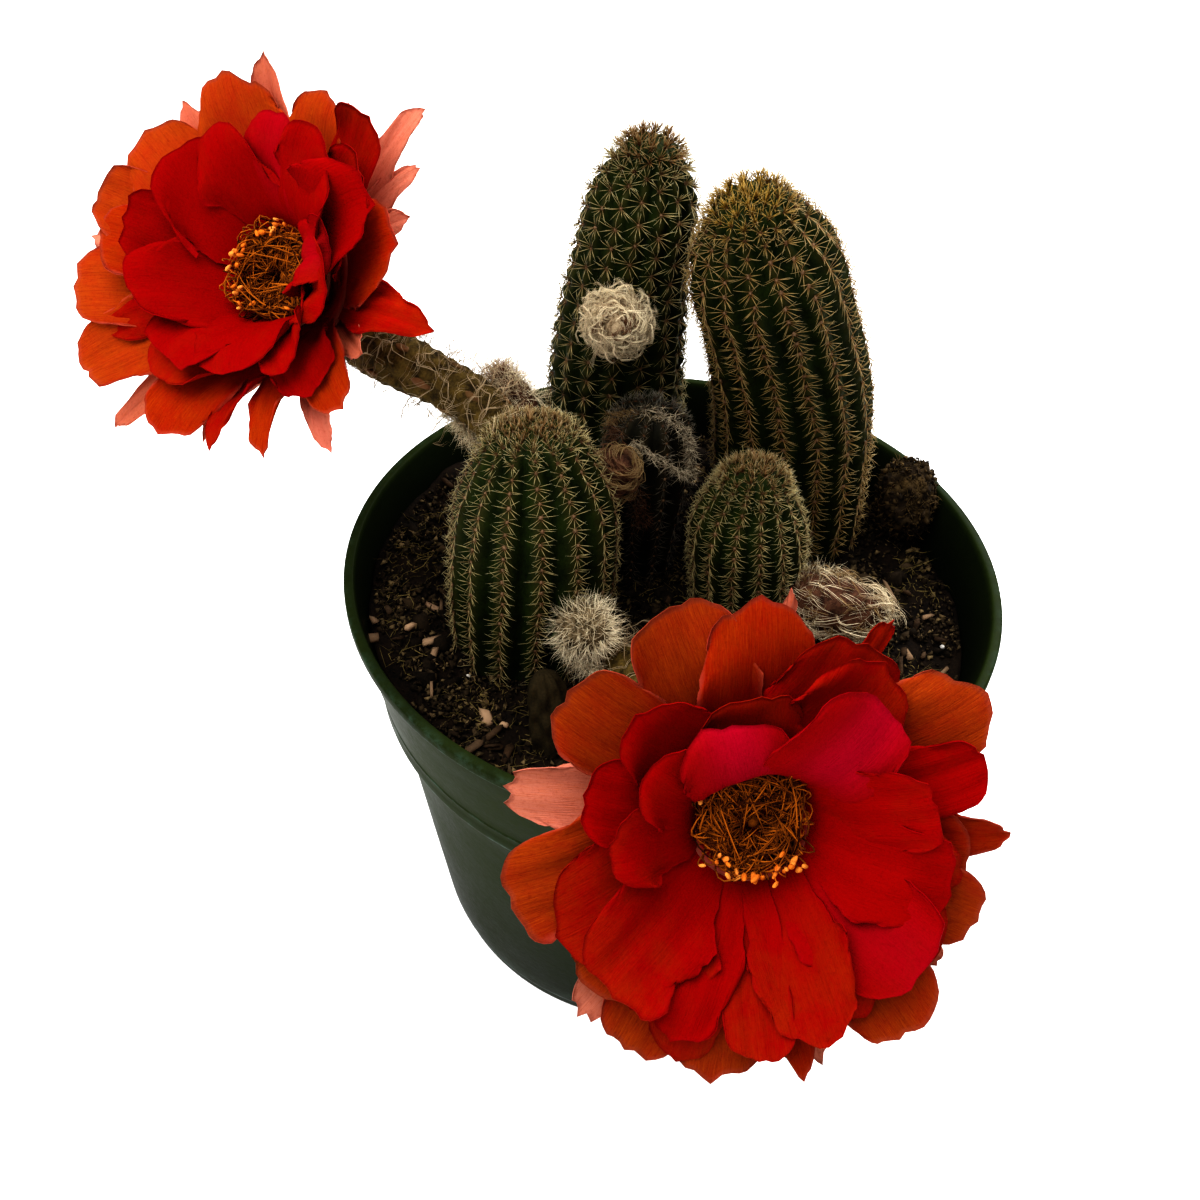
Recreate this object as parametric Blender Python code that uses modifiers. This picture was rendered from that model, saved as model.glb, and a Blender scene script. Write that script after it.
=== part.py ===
# Potted peanut cactus: five ribbed stems in soil in a green nursery pot, with two open blooms and five buds.
# Metres, +Z up. The origin is the middle of the pot's flat base. -Y is the side the blooms face.

import math
import random

import bmesh
import bpy
from mathutils import Matrix, Vector

MM = 0.001
GAP = 0.3
SEED = 17

# Pot, millimetres. The sides run straight from the base to the collar, then up to the lip.
POT_HEIGHT = 96.5
POT_LIP_RADIUS = 63.5
POT_COLLAR_RADIUS = 62.7
POT_COLLAR_FOOT = 68.6
POT_COLLAR_FOOT_RADIUS = 57.8
POT_BODY_TOP_RADIUS = 56.2
POT_BASE_RADIUS = 47.3
POT_WALL = 1.4
POT_FLOOR = 2.2
POT_LIP_WIDTH = 2.0
POT_RECESS = 1.2
POT_STEPS = 28
DRAIN_COUNT = 5
DRAIN_RADIUS = 4.0
DRAIN_RING = 33.0

# Soil
SOIL_TOP = 86.0
SOIL_RELIEF = 0.9
STEM_FOOT_DEPTH = 12.0
HOLE_SIDES = 16
CHIP_COUNT = 8
PERLITE_COUNT = 5

# Stems: foot to crown as (x, y, z, radius over the ribs), millimetres
STEMS = {
    "stem_back_left": {
        "axis": [(-15, 31, 86, 14.3), (-15.4, 31, 108, 13.7), (-15.2, 30.4, 124, 12.9),
                 (-13.6, 29.6, 143, 11.0), (-12.0, 28.9, 156, 9.7), (-11.2, 28.2, 165, 4.8)],
        "ribs": 13, "rows": 6, "ribDepth": 0.13, "crown": 1.8, "spineGap": 12.0, "spineLength": 4.2},
    "stem_back_right": {
        "axis": [(23.6, 28.6, 86, 15.2), (21.6, 28, 107, 15.7), (19.6, 26.2, 121, 15.2),
                 (14.4, 21.6, 139, 13.9), (9.9, 17, 152, 12.9), (6.4, 13, 162.5, 6.8)],
        "ribs": 13, "rows": 7, "ribDepth": 0.16, "crown": 2.4, "spineGap": 12.0, "spineLength": 4.2},
    "stem_front_left": {
        "axis": [(-26.2, -15, 86, 14.1), (-25.7, -15, 98, 14.9), (-25.2, -14.8, 109, 14.9),
                 (-25, -14.2, 120, 13.5), (-25.7, -13.4, 130, 8.6)],
        "ribs": 13, "rows": 5, "ribDepth": 0.18, "crown": 3.2, "spineGap": 10.0, "spineLength": 3.8},
    "stem_front_small": {
        "axis": [(15.3, -0.5, 86, 10.3), (14.3, -0.5, 98, 10.9), (13.4, -0.5, 108, 10.4),
                 (13.4, -0.5, 117, 6.2)],
        "ribs": 12, "rows": 4, "ribDepth": 0.15, "crown": 3.2, "spineGap": 8.0, "spineLength": 3.6},
    "stem_centre_pup": {
        "axis": [(-7.2, 9, 86, 6.6), (-7.3, 9.1, 98, 7.6), (-7.4, 9.4, 108, 8.8), (-7.0, 9.8, 118, 8.0)],
        "ribs": 10, "rows": 4, "ribDepth": 0.16, "crown": 4.6, "spineGap": 10.0, "spineLength": 3.0},
}
SPINE_ROOT = 0.42
SPINE_SUNK = 1.3
SPINE_FLANK = 0.6
SPINE_ROOM = 2.4

# Buds: where the root meets its stem, where the tip ends, and the greatest radius
BUDS = {
    "bud_back_woolly": {"stem": "stem_back_left", "root": (-14.6, 21.5, 135.5), "tip": (-14.3, 7.6, 141.5),
                        "radius": 6.4, "tufts": 11, "slot": "wool"},
    "bud_middle_brown": {"stem": "stem_front_left", "root": (-14.8, -9.2, 118.0), "tip": (-7.6, -3.8, 122.0),
                         "radius": 4.4, "tufts": 9, "slot": "bud_brown"},
    "bud_top_pale": {"stem": "stem_front_left", "root": (-24.5, -3.5, 126.0), "tip": (-34.8, 8.6, 135.4),
                     "radius": 3.9, "tufts": 9, "slot": "wool"},
    "bud_front_woolly": {"stem": "stem_front_left", "root": (-17.0, -25.0, 102.5), "tip": (-10.4, -34.2, 109.2),
                         "radius": 6.0, "tufts": 11, "slot": "wool"},
    "bud_right_woolly": {"stem": "stem_front_small", "root": (24.0, -4.2, 93.6), "tip": (41.5, -11.2, 96.6),
                         "radius": 6.3, "tufts": 11, "slot": "bud_brown"},
}
BUD_SIDES = 8
BUD_SEAT = 1.2
TUFT_LENGTH = 3.4
TUFT_ROOT = 0.8

# Blooms: the middle of the ring of petal tips, the way the bloom faces, and each petal as
# (angle round the bloom in degrees, reach of its tip in millimetres).
BLOOMS = {
    "left_bloom": {
        "centre": (-76.8, 0.0, 154.0), "faces": (-0.30, -0.72, 0.62), "stem": "stem_front_left",
        "tube": [(-31.0, -8.4, 126.5, 3.9), (-36.4, -4.6, 130.6, 4.1), (-46, -1.5, 133.8, 4.5),
                 (-56, 2.6, 135.6, 5.0), (-64.5, 9.6, 137.6, 5.4)],
        "sepals": [(51, 37), (103, 33), (143, 33), (187, 36), (241, 40), (290, 35), (318, 34), (358, 35)],
        "outer": [(11, 31), (45, 32), (77, 28), (115, 29), (153, 30), (191, 32), (214, 37), (236, 38),
                  (264, 35), (338, 31)],
        "middle": [(24, 29), (62, 28), (135, 25), (170, 27), (208, 29), (243, 29), (312, 27)],
        "inner": [(30, 22), (84, 23), (140, 21), (203, 20), (262, 20), (325, 21)]},
    "front_bloom": {
        "centre": (16.6, -79.9, 115.0), "faces": (0.05, -0.80, 0.60), "stem": "stem_front_left",
        "tube": [(-12.4, -22.0, 91.6, 3.9), (-6.2, -31.0, 96.4, 4.0), (1.4, -43.5, 100.8, 4.2),
                 (9.0, -55.0, 104.4, 4.8)],
        "sepals": [(7, 35), (60, 34), (90, 34), (126, 33), (170, 37), (229, 38), (289, 35), (330, 33)],
        "outer": [(12, 32), (38, 37), (74, 33), (107, 34), (143, 36), (193, 36), (222, 35), (252, 35),
                  (300, 34), (340, 33)],
        "middle": [(2, 28), (31, 31), (170, 27), (212, 31), (240, 32), (283, 32), (312, 29)],
        "inner": [(60, 24), (104, 20), (140, 23), (205, 20), (262, 19), (326, 22)]},
}
TUBE_SIDES = 10
TUBE_SCALES = 8
TUBE_STRAIGHT = 5.0
TUBE_NECK = 5.6
PETAL_THICKNESS = 0.66
STAMEN_COUNT = 10

# The rows of petals from the back of the bloom to its heart, millimetres in the bloom's own frame.
# base and tip are (reach, height); curl bends the blade out, cup lifts its edges, twist laps it over.
PETAL_ROWS = {
    "sepals": {"base": (8.0, -11.6), "tip": -3.6, "half": 5.8, "curl": 1.7, "cup": 0.10, "twist": 6,
               "wave": 0.5, "across": 2, "along": 3, "pointed": True},
    "outer": {"base": (8.8, -10.4), "tip": 0.0, "half": 8.0, "curl": 1.8, "cup": 0.16, "twist": 9,
              "wave": 0.9, "across": 4, "along": 3, "pointed": False},
    "middle": {"base": (9.6, -9.2), "tip": 2.2, "half": 6.6, "curl": 1.9, "cup": 0.20, "twist": 9,
               "wave": 0.8, "across": 3, "along": 3, "pointed": False},
    "inner": {"base": (7.4, -8.2), "tip": 6.8, "half": 6.2, "curl": 1.5, "cup": 0.26, "twist": 8,
              "wave": 0.6, "across": 3, "along": 3, "pointed": False},
}

# Turned cups that carry the petals, as (reach, height) in the bloom's own frame
OUTER_CUP = [(0, -12.2), (5.2, -12.2), (7.6, -10.4), (11.2, -6.4), (12.6, -7.0), (9.4, -11.2), (6.4, -15.4),
             (0, -15.4)]
INNER_CUP = [(0, -9.8), (4.0, -9.8), (5.6, -9.0), (9.2, -5.2), (10.5, -5.8), (7.2, -10.0), (4.9, -11.9),
             (0, -11.9)]
CUP_STEPS = 20
STAMEN_BASE = [(0, -8.6), (3.0, -8.6), (3.7, -9.5), (0, -9.5)]
STAMEN_FOOT = (2.5, -9.1)
STAMEN_TIP = (7.8, -2.8)

# Loose things on the soil
STUB_AXIS = [(-16.4, -41.5, 76, 4.6), (-16.8, -41, 86, 4.9), (-17.6, -40, 91, 4.7), (-18.2, -39.4, 94.5, 3.4)]
CLUMP_CENTRE = (44.3, 30.7, 92.4)
CLUMP_SIZE = (4.6, 7.0, 7.8)

COLOURS = {
    "pot_plastic": ((0.018, 0.085, 0.045), 0.42),
    "soil": ((0.030, 0.020, 0.014), 0.95),
    "bark": ((0.085, 0.050, 0.030), 0.90),
    "cork": ((0.110, 0.085, 0.040), 0.90),
    "stem_skin": ((0.045, 0.095, 0.030), 0.60),
    "wool": ((0.640, 0.560, 0.440), 0.95),
    "bud_brown": ((0.320, 0.190, 0.120), 0.95),
    "tube_skin": ((0.240, 0.180, 0.050), 0.70),
    "petal_orange": ((0.780, 0.130, 0.030), 0.45),
    "petal_crimson": ((0.480, 0.005, 0.008), 0.45),
    "stamens": ((0.640, 0.300, 0.050), 0.60),
}


def clearScene():
    for old in list(bpy.data.objects):
        bpy.data.objects.remove(old, do_unlink=True)


def newCollection(name):
    made = bpy.data.collections.new(name)
    bpy.context.scene.collection.children.link(made)
    return made


def makeMaterials():
    made = {}
    for slot, (colour, roughness) in COLOURS.items():
        material = bpy.data.materials.new(slot)
        material.use_nodes = True
        shader = material.node_tree.nodes["Principled BSDF"]
        shader.inputs["Base Color"].default_value = (*colour, 1.0)
        shader.inputs["Roughness"].default_value = roughness
        made[slot] = material
    return made


clearScene()
PARTS = newCollection("potted_peanut_cactus")
CUTTERS = newCollection("cutters")
MATERIALS = makeMaterials()


# Building blocks

def objectFrom(mesh, name, home, slot=None):
    mesh.transform(Matrix.Scale(MM, 4))
    made = bpy.data.objects.new(name, mesh)
    home.objects.link(made)
    if slot:
        mesh.materials.clear()
        mesh.materials.append(MATERIALS[slot])
    return made


def meshFrom(bm, name):
    bmesh.ops.triangulate(bm, faces=bm.faces[:])
    if bm.calc_volume(signed=True) < 0:
        bmesh.ops.reverse_faces(bm, faces=bm.faces[:])
    mesh = bpy.data.meshes.new(name)
    bm.to_mesh(mesh)
    bm.free()
    return mesh


def settle(made):
    # Bakes an object's modifiers into its mesh.
    mesh = bpy.data.meshes.new_from_object(made.evaluated_get(bpy.context.evaluated_depsgraph_get()))
    made.modifiers.clear()
    made.data = mesh
    return made


def discard(made):
    bpy.data.objects.remove(made, do_unlink=True)


def turned(name, profile, steps, home, slot=None):
    # Screws a (reach, height) profile once round Z; its ends lie on the axis.
    mesh = bpy.data.meshes.new(name)
    bm = bmesh.new()
    corners = [bm.verts.new((reach, 0, height)) for reach, height in profile]
    for first, second in zip(corners, corners[1:]):
        bm.edges.new((first, second))
    bm.to_mesh(mesh)
    bm.free()
    made = objectFrom(mesh, name, home, slot)
    screw = made.modifiers.new("turn", "SCREW")
    screw.steps = steps
    screw.render_steps = steps
    screw.use_merge_vertices = True
    screw.merge_threshold = 0.00001
    return settle(made)


def gridBody(name, columns, rows, place):
    # Wraps a flat grid into a closed body: columns run round it, rows from its foot to its crown.
    bm = bmesh.new()
    bmesh.ops.create_grid(bm, x_segments=columns, y_segments=rows, size=1.0)
    for vert in bm.verts:
        column = round((vert.co.x + 1) / 2 * columns) % columns
        row = round((vert.co.y + 1) / 2 * rows)
        vert.co = place(column, row)
    bmesh.ops.remove_doubles(bm, verts=bm.verts[:], dist=0.0001)
    bmesh.ops.dissolve_degenerate(bm, dist=0.0001, edges=bm.edges[:])
    bmesh.ops.recalc_face_normals(bm, faces=bm.faces[:])
    return meshFrom(bm, name)


def smoothRoute(points, count):
    # Reads evenly spaced (centre, radius) pairs from a Catmull-Rom curve through the points.
    spans = len(points) - 1
    route = []
    for step in range(count + 1):
        along = step / count * spans
        span = min(int(along), spans - 1)
        t = along - span
        ends = [points[max(span - 1, 0)], points[span], points[span + 1], points[min(span + 2, spans)]]
        mix = (-0.5 * t + t * t - 0.5 * t ** 3, 1 - 2.5 * t * t + 1.5 * t ** 3,
               0.5 * t + 2 * t * t - 1.5 * t ** 3, -0.5 * t * t + 0.5 * t ** 3)
        value = [sum(weight * end[axis] for weight, end in zip(mix, ends)) for axis in range(4)]
        route.append((Vector(value[:3]), value[3]))
    return route


def ringFrames(route):
    # Side and front directions square to the route at each ring, turned as little as possible.
    frames = []
    side = Vector((1, 0, 0))
    for index in range(len(route)):
        before = route[max(index - 1, 0)][0]
        after = route[min(index + 1, len(route) - 1)][0]
        forward = (after - before).normalized()
        side = (side - forward * side.dot(forward)).normalized()
        frames.append((side, forward.cross(side), forward))
    return frames


def sweptBody(name, route, sides, shape=None):
    # A closed body round a route, with a point at each end's middle.
    frames = ringFrames(route)
    last = len(route) - 1

    def place(column, row):
        ring = min(max(row - 1, 0), last)
        centre, radius = route[ring]
        if row in (0, last + 2):
            return centre
        side, front, _ = frames[ring]
        angle = 2 * math.pi * column / sides
        reach = radius * (shape(column, ring) if shape else 1.0)
        return centre + (side * math.cos(angle) + front * math.sin(angle)) * reach

    return gridBody(name, sides, last + 2, place)


def cone(name, foot, tip, radius, sides, home):
    # A slim cone of few sides from foot to tip.
    reach = tip - foot
    bm = bmesh.new()
    bmesh.ops.create_cone(bm, cap_ends=True, segments=sides, radius1=radius, radius2=0.0, depth=reach.length)
    bmesh.ops.remove_doubles(bm, verts=bm.verts[:], dist=0.0001)
    turn = Vector((0, 0, 1)).rotation_difference(reach).to_matrix().to_4x4()
    bmesh.ops.transform(bm, matrix=Matrix.Translation((foot + tip) / 2) @ turn, verts=bm.verts[:])
    return objectFrom(meshFrom(bm, name), name, home)


def joinAll(body, repeats, solver="MANIFOLD"):
    # Unions a collection of repeats with the body they grow from, then drops the loose objects.
    union = body.modifiers.new("join", "BOOLEAN")
    union.operation = "UNION"
    union.solver = solver
    union.operand_type = "COLLECTION"
    union.collection = repeats
    settle(body)
    for made in list(repeats.objects):
        discard(made)
    bpy.data.collections.remove(repeats)
    keepOuterShell(body)


def cut(body, cutters, solver="MANIFOLD"):
    for cutter in cutters:
        cutter.hide_render = True
        cutter.display_type = "WIRE"
        take = body.modifiers.new("cut", "BOOLEAN")
        take.operation = "DIFFERENCE"
        take.solver = solver
        take.object = cutter
    settle(body)
    keepOuterShell(body)


def keepOuterShell(body):
    # Keeps the largest closed shell: sealed hollows fill in, loose scraps and back-to-back slivers go.
    bm = bmesh.new()
    bm.from_mesh(body.data)
    unseen = set(bm.faces)
    shells = []
    while unseen:
        front = [unseen.pop()]
        shell = list(front)
        while front:
            for edge in front.pop().edges:
                for face in edge.link_faces:
                    if face in unseen:
                        unseen.remove(face)
                        front.append(face)
                        shell.append(face)
        shells.append(shell)
    if len(shells) > 1:
        shells.sort(key=lambda shell: sum(face.calc_area() for face in shell))
        loose = [face for shell in shells[:-1] for face in shell]
        bmesh.ops.delete(bm, geom=loose, context="FACES")
    bmesh.ops.triangulate(bm, faces=bm.faces[:])
    slivers = {}
    for face in bm.faces:
        slivers.setdefault(frozenset(face.verts), []).append(face)
    doubled = [face for pair in slivers.values() if len(pair) == 2 for face in pair]
    bmesh.ops.delete(bm, geom=doubled, context="FACES")
    bm.to_mesh(body.data)
    bm.free()


def finish(body, slot, sharp=40):
    body.data.materials.clear()
    body.data.materials.append(MATERIALS[slot])
    body.data.shade_smooth()
    body.data.set_sharp_from_angle(angle=math.radians(sharp))


# Where the stems, tubes and buds stand, so that spines and tufts keep clear of their neighbours

def stemRoute(spec):
    return smoothRoute(spec["axis"], 24)


def budRoute(spec, grow=0.0):
    # A plump bud: narrow at its seat, widest past the middle, blunt at the tip.
    root = Vector(spec["root"])
    tip = Vector(spec["tip"])
    outward = (tip - root).normalized()
    root = root - outward * (BUD_SEAT + grow)
    route = []
    rings = 6
    for ring in range(rings + 1):
        t = ring / rings
        swell = math.sin(math.pi * (0.17 + 0.75 * t)) ** 0.8
        route.append((root.lerp(tip + outward * grow, t), spec["radius"] * swell + grow))
    return route


def obstacles():
    found = {name: stemRoute(spec) for name, spec in STEMS.items()}
    found.update({name: budRoute(spec) for name, spec in BUDS.items()})
    for name, spec in BLOOMS.items():
        found[name + "_tube"] = smoothRoute(spec["tube"], 16)
    found["bark_clump"] = [(Vector(CLUMP_CENTRE), max(CLUMP_SIZE))]
    return found


OBSTACLES = obstacles()


def isClear(foot, tip, owner, room):
    for name, route in OBSTACLES.items():
        if name == owner:
            continue
        for centre, radius in route:
            for t in (0.0, 0.5, 1.0):
                if (foot.lerp(tip, t) - centre).length < radius + room:
                    return False
    return True


def floorUnder(point):
    # The soil's top, or the lip where the point is over it.
    return POT_HEIGHT if math.hypot(point.x, point.y) > POT_LIP_RADIUS - POT_LIP_WIDTH - 3 else SOIL_TOP


# Pot

def potInnerRadius(height):
    # Inside radius of the wall, following the taper outside.
    if height >= POT_COLLAR_FOOT:
        t = (height - POT_COLLAR_FOOT) / (POT_HEIGHT - POT_COLLAR_FOOT)
        return POT_COLLAR_FOOT_RADIUS + (POT_COLLAR_RADIUS - POT_COLLAR_FOOT_RADIUS) * t - POT_WALL
    t = height / POT_COLLAR_FOOT
    return POT_BASE_RADIUS + (POT_BODY_TOP_RADIUS - POT_BASE_RADIUS) * t - POT_WALL


def buildPot():
    lipInside = POT_LIP_RADIUS - POT_LIP_WIDTH
    ledge = POT_COLLAR_FOOT
    recessEdge = POT_BASE_RADIUS - 4.0
    profile = [
        (0, POT_FLOOR), (potInnerRadius(POT_FLOOR), POT_FLOOR), (potInnerRadius(ledge - 0.01), ledge - 1.0),
        (potInnerRadius(ledge), ledge + 0.6), (potInnerRadius(POT_HEIGHT - 2.5), POT_HEIGHT - 2.5),
        (lipInside, POT_HEIGHT), (POT_LIP_RADIUS - 0.4, POT_HEIGHT), (POT_LIP_RADIUS, POT_HEIGHT - 0.5),
        (POT_LIP_RADIUS, POT_HEIGHT - 2.4),
        (POT_COLLAR_RADIUS - 0.3, POT_HEIGHT - 3.2), (POT_COLLAR_FOOT_RADIUS + 0.8, ledge + 5.0),
        (POT_COLLAR_FOOT_RADIUS + 1.3, ledge + 4.0), (POT_COLLAR_FOOT_RADIUS + 0.4, ledge + 2.6),
        (POT_COLLAR_FOOT_RADIUS, ledge), (POT_BODY_TOP_RADIUS, ledge - 1.2),
        (POT_BASE_RADIUS + 0.9, 4.6), (POT_BASE_RADIUS, 3.8), (POT_BASE_RADIUS - 0.4, 0),
        (recessEdge, 0), (recessEdge - 1, POT_RECESS), (19, POT_RECESS), (18, 0), (0, 0)]
    pot = turned("pot", profile, POT_STEPS, PARTS)
    drains = []
    for index in range(DRAIN_COUNT):
        angle = 2 * math.pi * (index + 0.5) / DRAIN_COUNT
        centre = Vector((DRAIN_RING * math.cos(angle), DRAIN_RING * math.sin(angle), 0))
        bm = bmesh.new()
        bmesh.ops.create_cone(bm, cap_ends=True, segments=10, radius1=DRAIN_RADIUS, radius2=DRAIN_RADIUS, depth=8)
        bmesh.ops.translate(bm, vec=centre, verts=bm.verts[:])
        drains.append(objectFrom(meshFrom(bm, "drain"), "drain_cutter", CUTTERS))
    cut(pot, drains)
    finish(pot, "pot_plastic", 30)


# Stems

def footRadius(spec):
    return spec["axis"][0][3]


def stemBody(name, spec):
    crown, crownRadius = Vector(spec["axis"][-1][:3]), spec["axis"][-1][3]
    foot = Vector(spec["axis"][0][:3])
    buried = Vector((foot.x, foot.y, SOIL_TOP - STEM_FOOT_DEPTH))
    rings = [(buried, footRadius(spec)), (Vector((foot.x, foot.y, SOIL_TOP - 2.5)), footRadius(spec))]
    rings += smoothRoute(spec["axis"], spec["rows"])
    upward = (crown - Vector(spec["axis"][-2][:3])).normalized()
    rings.append((crown + upward * spec["crown"] * 0.7, crownRadius * 0.55))
    rings.append((crown + upward * spec["crown"], crownRadius * 0.12))
    columns = spec["ribs"] * 2
    ribbed = range(2, len(rings) - 2)

    def shape(column, ring):
        depth = spec["ribDepth"] if ring in ribbed else 0.0
        if ring in (2, len(rings) - 3):
            depth *= 0.6
        return 1.0 - depth * (column % 2)

    return objectFrom(sweptBody(name, rings, columns, shape), name, PARTS)


def addSpines(stem, name, spec):
    # One spine on every other areole of each rib, leaning left, right or out in turn.
    spines = newCollection(name + "_spines")
    rng = random.Random(SEED + len(name))
    route = smoothRoute(spec["axis"], 60)
    frames = ringFrames(route)
    length = sum((b[0] - a[0]).length for a, b in zip(route, route[1:]))
    count = round(length / spec["spineGap"])
    for rib in range(spec["ribs"]):
        angle = 2 * math.pi * rib / spec["ribs"]
        for step in range(count):
            along = (step + 0.55 + 0.5 * (rib % 2)) / count + rng.uniform(-0.1, 0.1) / count
            if along > 1.0:
                continue
            ring = min(int(along * 60), 60)
            centre, radius = route[ring]
            side, front, forward = frames[ring]
            outward = side * math.cos(angle) + front * math.sin(angle)
            around = forward.cross(outward)
            flank = 1 if (step + rib) % 2 else -1
            lean = flank * rng.uniform(0.35, 0.9)
            aim = (outward + around * lean + forward * (0.25 + rng.uniform(-0.2, 0.25) + along ** 4)).normalized()
            surface = centre + outward * (radius - SPINE_FLANK * 0.5) + around * flank * SPINE_FLANK
            tip = surface + aim * spec["spineLength"]
            if tip.z > SOIL_TOP + 3 and isClear(surface, tip, name, SPINE_ROOM):
                cone("spine", surface - aim * SPINE_SUNK, tip, SPINE_ROOT, 3, spines)
    crown = Vector(spec["axis"][-1][:3])
    side, front, forward = frames[-1]
    for index in range(7):
        angle = 2 * math.pi * (index + 0.3) / 7
        outward = side * math.cos(angle) + front * math.sin(angle)
        surface = crown + outward * spec["axis"][-1][3] * 0.5 + forward * spec["crown"] * 0.72
        aim = (outward * rng.uniform(0.3, 0.8) + forward).normalized()
        cone("spine", surface - aim * SPINE_SUNK, surface + aim * spec["spineLength"] * 0.8, SPINE_ROOT, 3, spines)
    joinAll(stem, spines)


def buildStems():
    for name, spec in STEMS.items():
        stem = stemBody(name, spec)
        addSpines(stem, name, spec)
        pockets = []
        for budName, bud in BUDS.items():
            if bud["stem"] == name:
                pockets.append(objectFrom(sweptBody("pocket", budRoute(bud, GAP), BUD_SIDES), "pocket", CUTTERS))
        for bloom in BLOOMS.values():
            if bloom["stem"] == name:
                route = smoothRoute(bloom["tube"], 8)
                inward = (route[0][0] - route[1][0]).normalized()
                grown = [(route[0][0] + inward * GAP, route[0][1] + GAP)]
                grown += [(centre, radius + GAP) for centre, radius in route[1:4]]
                pockets.append(objectFrom(sweptBody("pocket", grown, TUBE_SIDES), "pocket", CUTTERS))
        if pockets:
            cut(stem, pockets)
        finish(stem, "stem_skin")


# Soil, with what lies in it

def soilHeight(x, y):
    # Gentle lumps, a little lower against the wall.
    reach = math.hypot(x, y)
    lumps = math.sin(0.23 * x + 1.3) * math.cos(0.19 * y - 0.4) + 0.6 * math.sin(0.51 * x - 0.37 * y)
    return SOIL_TOP + SOIL_RELIEF * 0.6 * lumps - 0.0006 * reach * reach


def buildSoil():
    edge = potInnerRadius(SOIL_TOP - 4 * SOIL_RELIEF) - GAP
    ledge = POT_COLLAR_FOOT
    floor = POT_FLOOR + GAP
    profile = [(0, SOIL_TOP)]
    profile += [(edge * ring / 5, SOIL_TOP) for ring in range(1, 5)]
    profile += [(edge, SOIL_TOP), (potInnerRadius(ledge) - GAP, ledge + 0.6 + GAP),
                (potInnerRadius(ledge - 0.01) - GAP, ledge - 1.0 - GAP),
                (potInnerRadius(floor) - GAP, floor), (0, floor)]
    soil = turned("soil", profile, POT_STEPS, PARTS)
    for vert in soil.data.vertices:
        if vert.co.z > (SOIL_TOP - 1) * MM:
            vert.co.z = soilHeight(vert.co.x / MM, vert.co.y / MM) * MM
    litter = newCollection("litter")
    rng = random.Random(SEED)
    for index in range(CHIP_COUNT + PERLITE_COUNT):
        spot = litterSpot(rng, edge)
        isChip = index < CHIP_COUNT
        bm = bmesh.new()
        if isChip:
            size = Vector((rng.uniform(3.5, 7.0), rng.uniform(1.6, 3.0), rng.uniform(1.4, 2.2)))
            bmesh.ops.create_cube(bm, size=1.0)
            for vert in bm.verts:
                vert.co.x *= 1.0 - 0.45 * (vert.co.y > 0)
        else:
            size = Vector.Fill(3, rng.uniform(0.9, 1.4))
            bmesh.ops.create_icosphere(bm, subdivisions=1, radius=1.0)
        turn = Matrix.Rotation(rng.uniform(0, math.pi), 4, "Z") @ Matrix.Rotation(rng.uniform(-0.3, 0.3), 4, "Y")
        lift = Matrix.Translation(spot + Vector((0, 0, 0.25 if isChip else 0.2)))
        bmesh.ops.transform(bm, matrix=lift @ turn @ Matrix.Diagonal((*size, 1.0)), verts=bm.verts[:])
        objectFrom(meshFrom(bm, "litter"), "litter", litter)
    joinAll(soil, litter)
    holes = []
    for name, spec in STEMS.items():
        foot = Vector(spec["axis"][0][:3])
        depth = STEM_FOOT_DEPTH + GAP
        reach = (footRadius(spec) + GAP) / math.cos(math.pi / HOLE_SIDES)
        route = [(Vector((foot.x, foot.y, SOIL_TOP - depth)), reach), (Vector((foot.x, foot.y, SOIL_TOP + 6)), reach)]
        holes.append(objectFrom(sweptBody("hole", route, HOLE_SIDES), "hole", CUTTERS))
    stubHole = [(centre, radius + GAP) for centre, radius in smoothRoute(STUB_AXIS, 4)]
    stubHole[0] = (stubHole[0][0] - Vector((0, 0, GAP)), stubHole[0][1])
    holes.append(objectFrom(sweptBody("hole", stubHole, 9), "hole", CUTTERS))
    holes.append(objectFrom(clumpMesh(GAP), "hole", CUTTERS))
    cut(soil, holes)
    finish(soil, "soil")


def litterSpot(rng, edge):
    # A free spot on the soil, away from the stems, the stub, the clump and the low bud.
    taken = [(*spec["axis"][0][:2], footRadius(spec)) for spec in STEMS.values()]
    taken += [(STUB_AXIS[1][0], STUB_AXIS[1][1], STUB_AXIS[1][3]), (*CLUMP_CENTRE[:2], max(CLUMP_SIZE))]
    taken += [(35, -8, 10)]
    while True:
        reach = (edge - 6) * math.sqrt(rng.random())
        angle = rng.uniform(0, 2 * math.pi)
        x, y = reach * math.cos(angle), reach * math.sin(angle)
        if all(math.hypot(x - left, y - top) > radius + 5.5 for left, top, radius in taken):
            return Vector((x, y, soilHeight(x, y)))


def clumpMesh(grow=0.0):
    bm = bmesh.new()
    bmesh.ops.create_icosphere(bm, subdivisions=2, radius=1.0)
    for vert in bm.verts:
        way = vert.co.normalized()
        lump = 1.0 + 0.10 * math.sin(5 * way.x + 2 * way.y) * math.cos(4 * way.z - 3 * way.y)
        vert.co = Vector(CLUMP_CENTRE) + Vector(
            [way[axis] * (CLUMP_SIZE[axis] * lump + grow) for axis in range(3)])
    return meshFrom(bm, "clump")


def buildClump():
    finish(objectFrom(clumpMesh(), "bark_clump", PARTS), "bark")


def buildStub():
    def shape(column, ring):
        return 1.0 - 0.12 * ((column * 2 + ring) % 3 == 0)

    finish(objectFrom(sweptBody("stub", smoothRoute(STUB_AXIS, 4), 9, shape), "corky_stub", PARTS), "cork")


# Buds

def buildBuds():
    for name, spec in BUDS.items():
        rng = random.Random(SEED + len(name))
        bud = objectFrom(sweptBody(name, budRoute(spec), BUD_SIDES), name, PARTS)
        addTufts(bud, name, budRoute(spec), spec["tufts"], rng)
        finish(bud, spec["slot"])


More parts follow.
